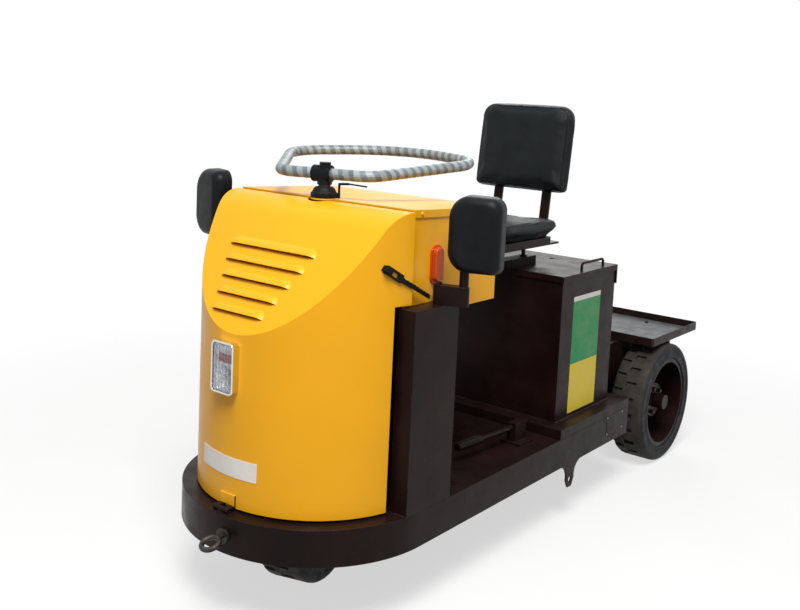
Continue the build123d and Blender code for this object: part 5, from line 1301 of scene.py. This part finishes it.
class TUG_OT_fasteners(bpy.types.Operator):
    """Set the bolts, nuts, sheet screws and spring clamps"""
    bl_idname = "tug.fasteners"
    bl_label = "Fasteners"

    def execute(self, context):
        sizes = context.scene.tug_sizes
        bolt = fastener("bolt", 0.8 * sizes.bolt / MM, BOLT)
        screw = fastener("screw", 0.9 * sizes.screw / MM, SCREW)
        nut = fastener("nut", 0.8 * sizes.bolt / MM, NUT)
        black, zinc, yellow = (MATERIALS[name]() for name in ("black_paint", "zinc", "yellow_paint"))
        up, back = (0, 0, 1), (0, 1, 0)
        flange = on_sides(CONSOLE_SIDE, [(y, self.cover_height(y)) for y in (-1375, -1230, -1075)], 0.4)
        rear = rows((-255, 255), (CONSOLE_REAR,), (722, 905), back)
        walls = rows((-268, 268), (FIREWALL_REAR,), (330, 450, 570, 670), back)
        cover = on_sides(COVER_SIDE, [(y, 298) for y in (-270, -190, -110)], 0.3)
        deck = rows((-310, 310), (-717, -318), (DECK_TOP,), up)
        hinge = rows((-272, -258), (-620, -440), (LID_TOP,), up)
        tray = rows((-150, 150), (-60, 205), (TRAY_TOP,), up)
        plate = (rows((-90, 90), (END_PLATE_REAR,), (185, 245), back)
                 + rows((-150, 150), (END_PLATE_REAR,), (385,), back))
        arms = [(at(side * ARM_FOOT[0], *ARM_FOOT[1:]), up, 0.4) for side in SIDES]
        lean = back_lean()
        bars = [(lean @ at(side * BAR_X, BAR_REAR, high), lean.to_3x3() @ Vector(back), 0.2) for side in SIDES
                for high in (985, 1060)]
        motor = [(at(MOTOR_BOLTS * math.cos(a), MOTOR_FRONT, AXLE_Z + MOTOR_BOLTS * math.sin(a)), (0, -1, 0), a)
                 for a in (0.6, 2.2, 3.7, 5.3)]
        clamps = rows(CLAMP_X, (-CLAMP_ROUND, CLAMP_ROUND), (CLAMP_FOOT,), (0, 0, -1))
        for name, template, spots, material, node, slot in (
                ("console_screws", screw, flange + rear, yellow, "console", "yellow_paint"),
                ("panel_screws", screw, walls + cover + deck, black, "firewall", "black_paint"),
                ("frame_bolts", bolt, tray + plate + arms, black, "rear_frame", "black_paint"),
                ("seat_bolts", bolt, bars, zinc, "seat_frame", "chrome"),
                ("lid_hinge_screws", screw, hinge, black, "seat_lid", "black_paint"),
                ("motor_screws", screw, motor, zinc, "drive_motor", "chrome"),
                ("clamp_nuts", nut, clamps, zinc, "rear_axle", "spring_steel")):
            place(scattered(name, template, spots, material), body_of(node), slot)
        clear(bolt, screw, nut)
        self.clamps()
        return {"FINISHED"}

    def cover_height(self, y):
        """Height of the console cover's flange middle at one Y."""
        return 945.0 - 15.0 * (y + 1406.0) / 357.0

    def clamps(self):
        """U-shaped clamps that hold the axle tube to its springs."""
        steel = MATERIALS["spring_steel"]()
        turns = [math.pi * i / 16 for i in range(17)]
        pieces = []
        for x in CLAMP_X:
            over = [at(x, CLAMP_ROUND * math.cos(a), AXLE_Z + CLAMP_ROUND * math.sin(a)) for a in turns]
            line = [at(x, CLAMP_ROUND, CLAMP_END)] + over + [at(x, -CLAMP_ROUND, CLAMP_END)]
            pieces.append(tube("clamp_rod", line, 5 * MM, steel, sides=12))
        for side in SIDES:
            foot = slab("clamp_plate", ((40, 58, 6, 0.0), (40, 58, 6, 8.0)), 4,
                        Matrix.Translation(at(side * SPRING_X, 0, CLAMP_FOOT)))
            paint(foot, steel)
            pieces.append(foot)
        place(joined("spring_clamps", pieces), body_of("rear_axle"), "spring_steel")


class TUG_OT_welds(bpy.types.Operator):
    """Lay the weld beads where the columns, the box and the hitch stand on their plates"""
    bl_idname = "tug.welds"
    bl_label = "Weld beads"

    def execute(self, context):
        column, box, deck = PAN_TOP, BOX_SIDE, DECK_TOP + 0.5
        lines = []
        for side in SIDES:
            lines += [((side * 329, FIREWALL_REAR, column), (side * 281, FIREWALL_REAR, column)),
                      ((side * 281, COLUMN_FRONT, column), (side * 329, COLUMN_FRONT, column)),
                      ((side * COVER_SIDE, COVER_FRONT, 262), (side * COVER_SIDE, COVER_FRONT, 283)),
                      ((side * 32, END_PLATE_REAR, 163), (side * 32, END_PLATE_REAR, 177)),
                      ((side * box, BOX_FRONT, deck), (side * box, BOX_REAR, deck))]
        lines += [((-box, y, deck), (box, y, deck)) for y in (BOX_FRONT, BOX_REAR)]
        beads = []
        for start, end in lines:
            trail = [at(*start)]
            straight(trail, at(*end), 1.4 * MM)
            beads.append(tube("bead", trail, size("weld"), black_enamel(), ripple=0.16, pitch=4.2 * MM, sides=8))
        place(joined("weld_beads", beads), body_of("chassis_pan"), "black_paint")
        return {"FINISHED"}


def nose_plate(name, start_deg, end_deg, low, high, thick, material):
    """Thin plate wrapped on the round nose between two angles from straight ahead and two heights."""
    steps = 40
    inner, outer = HOOD_RADIUS + 0.1, HOOD_RADIUS + thick
    verts = []
    for step in range(steps + 1):
        angle = math.radians(start_deg + (end_deg - start_deg) * step / steps)
        for radius, z in ((inner, low), (inner, high), (outer, high), (outer, low)):
            verts.append(at(radius * math.sin(angle), NOSE_Y - radius * math.cos(angle), z))
    faces = [(4 * s + k, 4 * s + (k + 1) % 4, 4 * s + 4 + (k + 1) % 4, 4 * s + 4 + k)
             for s in range(steps) for k in range(4)]
    faces += [(0, 1, 2, 3), (4 * steps + 3, 4 * steps + 2, 4 * steps + 1, 4 * steps)]
    made = mesh_piece(name, verts, faces)
    paint(made, material)
    return made


def side_plate(name, x, y, z, thick, slot, radius=3.0):
    """Thin plate on a face that looks to the left, between two Y and two Z values."""
    half_y, half_z = abs(y[1] - y[0]) / 2, abs(z[1] - z[0]) / 2
    made = slab(name, ((half_y, half_z, radius, 0.0), (half_y, half_z, radius, thick)), 4,
                upright(at(x + 0.1, sum(y) / 2, sum(z) / 2), (1, 0, 0)))
    paint(made, slot())
    return made


class TUG_OT_plates(bpy.types.Operator):
    """Fit the blank plates and labels"""
    bl_idname = "tug.plates"
    bl_label = "Plates and labels"

    def execute(self, context):
        pan = body_of("chassis_pan")
        plate = nose_plate("nose_plate", -22.0, 15.5, 333, 378, size("plate") / MM, MATERIALS["white_plate"]())
        place(plate, body_of("hood"), "yellow_paint")
        label = side_plate("box_label", BOX_SIDE, (-622, -455), (296, 646), 0.4, printed_label)
        place(label, body_of("seat_box"), "black_paint")
        place(side_plate("data_plate_frame", SKIRT_SIDE, (-446, -340), (197, 253), 0.8, tray_enamel), pan,
              "black_paint")
        place(side_plate("data_plate", SKIRT_SIDE + 0.8, (-440, -346), (203, 247), 0.5, black_enamel, 2.0), pan,
              "black_paint")
        rivet = fastener("rivet", 2.4, SCREW)
        spots = rows((SKIRT_SIDE + 1.0,), (-443, -343), (200, 250), (1, 0, 0), 0.0)
        place(scattered("data_plate_rivets", rivet, spots, MATERIALS["zinc"]()), pan, "chrome")
        clear(rivet)
        return {"FINISHED"}


class TUG_OT_battery(bpy.types.Operator):
    """Set the cell lids, caps, posts and straps on the battery"""
    bl_idname = "tug.battery"
    bl_label = "Battery"

    def execute(self, context):
        lead = MATERIALS["lead"]()
        lid = slab("lid", ((39, 64, 5, 0.0), (39, 64, 5, 4.0), (37, 62, 4, 6.0)), 4)
        cap = turned("cap", ((6, 5.0), (15, 6.0), (15, 13), (13, 15), (4, 15.5)), 20)
        post = turned("post", ((3, 5.0), (9, 6.0), (8.5, 20), (7, 21), (2, 21)), 16)
        strap = slab("strap", ((46, 9, 8.9, 17.0), (46, 9, 8.9, 20.0)), 5)
        cells = [(-215 + 86 * i, -597.5 + 139 * j) for i in range(6) for j in range(2)]
        posts = [(x + 24 * end, y + 38) for x, y in cells for end in SIDES]
        straps = [(x + 43, y + 38) for x, y in cells[:-2]]
        for name, template, places, material, slot in (
                ("battery_lids", lid, cells, MATERIALS["battery_case"](), "battery_case"),
                ("battery_caps", cap, cells, MATERIALS["red_lens"](), "battery_case"),
                ("battery_posts", post, posts, lead, "spring_steel"),
                ("battery_straps", strap, straps, lead, "spring_steel")):
            spots = [(at(x, y, BATTERY_TOP), (0, 0, 1)) for x, y in places]
            place(scattered(name, template, spots, material), body_of("battery"), slot)
        clear(lid, cap, post, strap)
        return {"FINISHED"}


class TUG_OT_instruments(bpy.types.Operator):
    """Fit the charge gauge, the key switch and the stop button on the driver's side of the console"""
    bl_idname = "tug.instruments"
    bl_label = "Instruments"

    def execute(self, context):
        chrome, plastic, red = (MATERIALS[name]() for name in ("chrome", "black_plastic", "red_lens"))
        bezel = turned("gauge_bezel", ((24, -0.2), (31, 0.0), (31, 3), (29, 6), (26, 6.5), (24.5, 5),
                                       (24, 2)), 40)
        self.fix(bezel, -120, plastic, "black_plastic")
        radius = 25
        face = turned("gauge_face", ((radius, 0.5), (radius, 1.6)), 40)
        lay = face.data.uv_layers.new(name="dial")
        for loop in face.data.loops:
            lay.data[loop.index].uv = face.data.vertices[loop.vertex_index].co.xy / (radius * MM)
        self.fix(face, -120, dial_face(), "black_plastic")
        needle = slab("gauge_needle", ((1.0, 9, 0.9, 2.2), (0.8, 9, 0.7, 2.9)), 3,
                      Matrix.Rotation(-0.6, 4, "Z") @ Matrix.Translation((0, 6 * MM, 0)))
        self.fix(needle, -120, red, "red_lens")
        barrel = turned("key_barrel", ((14, -0.2), (16, 0.0), (16, 3), (13, 5), (11, 5), (11, 9), (9, 10),
                                       (2, 10)), 28)
        self.fix(barrel, 0, chrome, "chrome")
        self.fix(slab("key_grip", ((1.2, 9, 1.1, 9.0), (1.2, 9, 1.1, 30.0)), 3), 0, plastic, "black_plastic")
        collar = turned("stop_collar", ((14, -0.2), (20, 0.0), (20, 3), (15, 5), (13, 5), (13, 14)), 32)
        self.fix(collar, 120, plastic, "black_plastic")
        button = turned("stop_button", ((10, 13), (19, 14), (20, 17), (20, 21), (17, 25), (9, 27.5), (1, 28)), 36)
        self.fix(button, 120, red, "red_lens")
        return {"FINISHED"}

    def fix(self, obj, x, material, slot):
        """Turn a form made about Z to face the driver, and set it on the console's rear face."""
        obj.data.transform(upright(at(x, CONSOLE_REAR, INSTRUMENT_Z), (0, 1, 0)))
        paint(obj, material)
        place(obj, body_of("console"), slot)


# X and width of each floor pedal, and the Y, Z and lean of both; foot of the brake lever and its turn about Z.
PEDALS = ((-110.0, 74.0), (40.0, 56.0))
PEDAL_Y = -1120.0
PEDAL_Z = 346.0
PEDAL_LEAN = math.radians(-35)
BRAKE_FOOT = (240.0, -830.0, 300.0)
BRAKE_TURN = math.radians(4.6)


class TUG_OT_controls(bpy.types.Operator):
    """Lay the ribbed pads on the pedals and the ringed grip on the brake lever"""
    bl_idname = "tug.controls"
    bl_label = "Pedals and brake grip"

    def execute(self, context):
        rubber = MATERIALS["black_rubber"]()
        pieces = []
        for x, wide in PEDALS:
            seat = Matrix.Translation(at(x, PEDAL_Y, PEDAL_Z)) @ Matrix.Rotation(PEDAL_LEAN, 4, "X")
            half = wide / 2
            pad = slab("pedal_pad", ((half + 1, 31, 5, 3.0), (half + 1, 31, 5, 6.0), (half, 30, 4.5, 7.0)), 5,
                       seat)
            paint(pad, rubber)
            rib = slab("pedal_rib", ((half - 5, 1.8, 1.7, 6.5), (half - 5.5, 1.3, 1.2, 9.5)), 3)
            spots = [(seat @ Vector((0, (-22.5 + 9 * i) * MM, 0)), seat.col[2].xyz) for i in range(6)]
            pieces += [pad, scattered("pedal_ribs", rib, spots, rubber)]
            clear(rib)
        place(joined("pedal_rubbers", pieces), body_of("floor_pedals"), "black_rubber")
        along = Vector((-math.sin(BRAKE_TURN), -math.cos(BRAKE_TURN), 0))
        ring = turned("ring", ((8, -2.2), (11.6, -1.6), (12.6, 0), (11.6, 1.6), (8, 2.2)), 24)
        spots = [(at(*BRAKE_FOOT) + along * (172 + 9 * i) * MM, along) for i in range(9)]
        place(scattered("brake_grip", ring, spots, rubber), body_of("park_brake_lever"), "black_rubber")
        clear(ring)
        return {"FINISHED"}


def area_light(name, spot, aim, width, power):
    """Square area light aimed at a point, in metres and watts."""
    data = bpy.data.lights.new(name, "AREA")
    data.energy = power
    data.size = width
    made = shown(name, data)
    made.location = spot
    made.rotation_euler = (Vector(aim) - Vector(spot)).to_track_quat("-Z", "Y").to_euler()


def seen_ray(tree):
    """Value that is 1 for the rays that show a background: camera, mirror and glass rays."""
    ray = add(tree, "ShaderNodeLightPath").outputs
    seen = add(tree, "ShaderNodeMath", {0: ray["Is Camera Ray"], 1: ray["Is Glossy Ray"]}, operation="MAXIMUM")
    return add(tree, "ShaderNodeMath", {0: seen, 1: ray["Is Transmission Ray"]}, operation="MAXIMUM")


@finish("pale_studio_floor")
def floor_material(tree, where):
    """Pale painted studio floor: it keeps the soft shadow near the object and runs to white away from it."""
    seen = seen_ray(tree)
    pale = coats(tree, linear("#F2F2F1"), (wander(tree, where, 400, 0.0, 1.0), linear("#F6F6F5")))
    far = add(tree, "ShaderNodeVectorMath", {0: where}, operation="LENGTH").outputs["Value"]
    share = add(tree, "ShaderNodeMapRange", {"Value": far, "From Min": 1.0, "From Max": 2.6, "To Min": 0.62},
                interpolation_type="SMOOTHSTEP")
    white = add(tree, "ShaderNodeMath", {0: seen, 1: share}, operation="MULTIPLY")
    painted = add(tree, "ShaderNodeBsdfPrincipled", {
        "Base Color": coats(tree, linear("#94908C"), (seen, pale)), "Roughness": 0.75, "Specular IOR Level": 0.2})
    glow = add(tree, "ShaderNodeEmission", {"Color": linear("#FFFFFF"), "Strength": 1.0})
    return add(tree, "ShaderNodeMixShader", {0: white, 1: painted, 2: glow})


# The photograph's camera, fitted to points of the vehicle: metres, degrees and pixels.
CAMERA_PLACE = (1.6201, -2.4237, 1.2160)
CAMERA_YAW = 37.4
CAMERA_PITCH = 5.9
CAMERA_ROLL = -2.7
FOCAL_PX = 980.8
PRINCIPAL_PX = (416.8, 194.8)
PHOTO_PX = (800.0, 610.0)
FLOOR_HALF = 30.0


class TUG_OT_stage(bpy.types.Operator):
    """Make the floor, the lights and the camera"""
    bl_idname = "tug.stage"
    bl_label = "Stage"

    def execute(self, context):
        scene = context.scene
        scene.view_settings.view_transform = "Standard"
        corners = [(sx * FLOOR_HALF, sy * FLOOR_HALF, 0) for sx, sy in ((-1, -1), (1, -1), (1, 1), (-1, 1))]
        floor = mesh_piece("floor", corners, [(0, 1, 2, 3)], merge=False)
        paint(floor, floor_material())
        world = scene.world or bpy.data.worlds.new("studio")
        scene.world = world
        world.use_nodes = True
        tree = world.node_tree
        tree.nodes.clear()
        strength = add(tree, "ShaderNodeMapRange", {"Value": seen_ray(tree), "To Min": 0.22, "To Max": 1.0})
        sky = add(tree, "ShaderNodeBackground", {"Color": linear("#FFFFFF"), "Strength": strength})
        add(tree, "ShaderNodeOutputWorld", {"Surface": sky})
        area_light("key", (1.75, -2.5, 4.85), (0, -0.5, 0.6), 2.2, 315)
        area_light("side", (5.0, -1.6, 2.2), (0, -0.2, 0.5), 1.8, 10)
        area_light("rim", (-2.5, 4.2, 3.4), (0, 0.3, 0.6), 2.5, 50)
        scene.camera = self.camera()
        return {"FINISHED"}

    def camera(self):
        """Camera at the photograph's place and angle."""
        yaw, pitch, roll = (math.radians(v) for v in (CAMERA_YAW, CAMERA_PITCH, CAMERA_ROLL))
        ahead = Vector((-math.sin(yaw) * math.cos(pitch), math.cos(yaw) * math.cos(pitch), -math.sin(pitch)))
        side = Vector((math.cos(yaw), math.sin(yaw), 0))
        up = side.cross(ahead)
        right = math.cos(roll) * side - math.sin(roll) * up
        above = math.sin(roll) * side + math.cos(roll) * up
        data = bpy.data.cameras.new("photo_camera")
        data.sensor_width = 36.0
        data.lens = FOCAL_PX / PHOTO_PX[0] * data.sensor_width
        data.shift_x = (PHOTO_PX[0] / 2 - PRINCIPAL_PX[0]) / PHOTO_PX[0]
        data.shift_y = (PRINCIPAL_PX[1] - PHOTO_PX[1] / 2) / PHOTO_PX[0]
        made = shown("photo_camera", data)
        turn = Matrix((right, above, -ahead)).transposed().to_4x4()
        made.matrix_world = Matrix.Translation(CAMERA_PLACE) @ turn
        return made


OPERATORS = (TUG_OT_stage, TUG_OT_panels, TUG_OT_tyres, TUG_OT_hoop, TUG_OT_seat, TUG_OT_lamps, TUG_OT_mirrors,
             TUG_OT_plates, TUG_OT_battery, TUG_OT_instruments, TUG_OT_controls, TUG_OT_fasteners, TUG_OT_welds)


class TUG_PT_sidebar(bpy.types.Panel):
    """Panel of the tug's operators, colours and sizes"""
    bl_idname = "TUG_PT_sidebar"
    bl_label = "Baggage tug"
    bl_space_type = "VIEW_3D"
    bl_region_type = "UI"
    bl_category = "Tug"

    def draw(self, context):
        column = self.layout.column(align=True)
        for kind in OPERATORS:
            column.operator(kind.bl_idname)
        for group in (context.scene.tug_colours, context.scene.tug_sizes):
            box = self.layout.box()
            for name in group.bl_rna.properties.keys():
                if name not in ("rna_type", "name"):
                    box.prop(group, name)


CLASSES = (TugColours, TugSizes) + OPERATORS + (TUG_PT_sidebar,)


def register():
    for kind in CLASSES:
        bpy.utils.register_class(kind)
    bpy.types.Scene.tug_colours = bpy.props.PointerProperty(type=TugColours)
    bpy.types.Scene.tug_sizes = bpy.props.PointerProperty(type=TugSizes)


def unregister():
    del bpy.types.Scene.tug_sizes
    del bpy.types.Scene.tug_colours
    for kind in reversed(CLASSES):
        bpy.utils.unregister_class(kind)


def main():
    """Make every piece in order."""
    register()
    for kind in OPERATORS:
        getattr(bpy.ops.tug, kind.bl_idname.split(".")[1])()


if __name__ == "__main__":
    main()
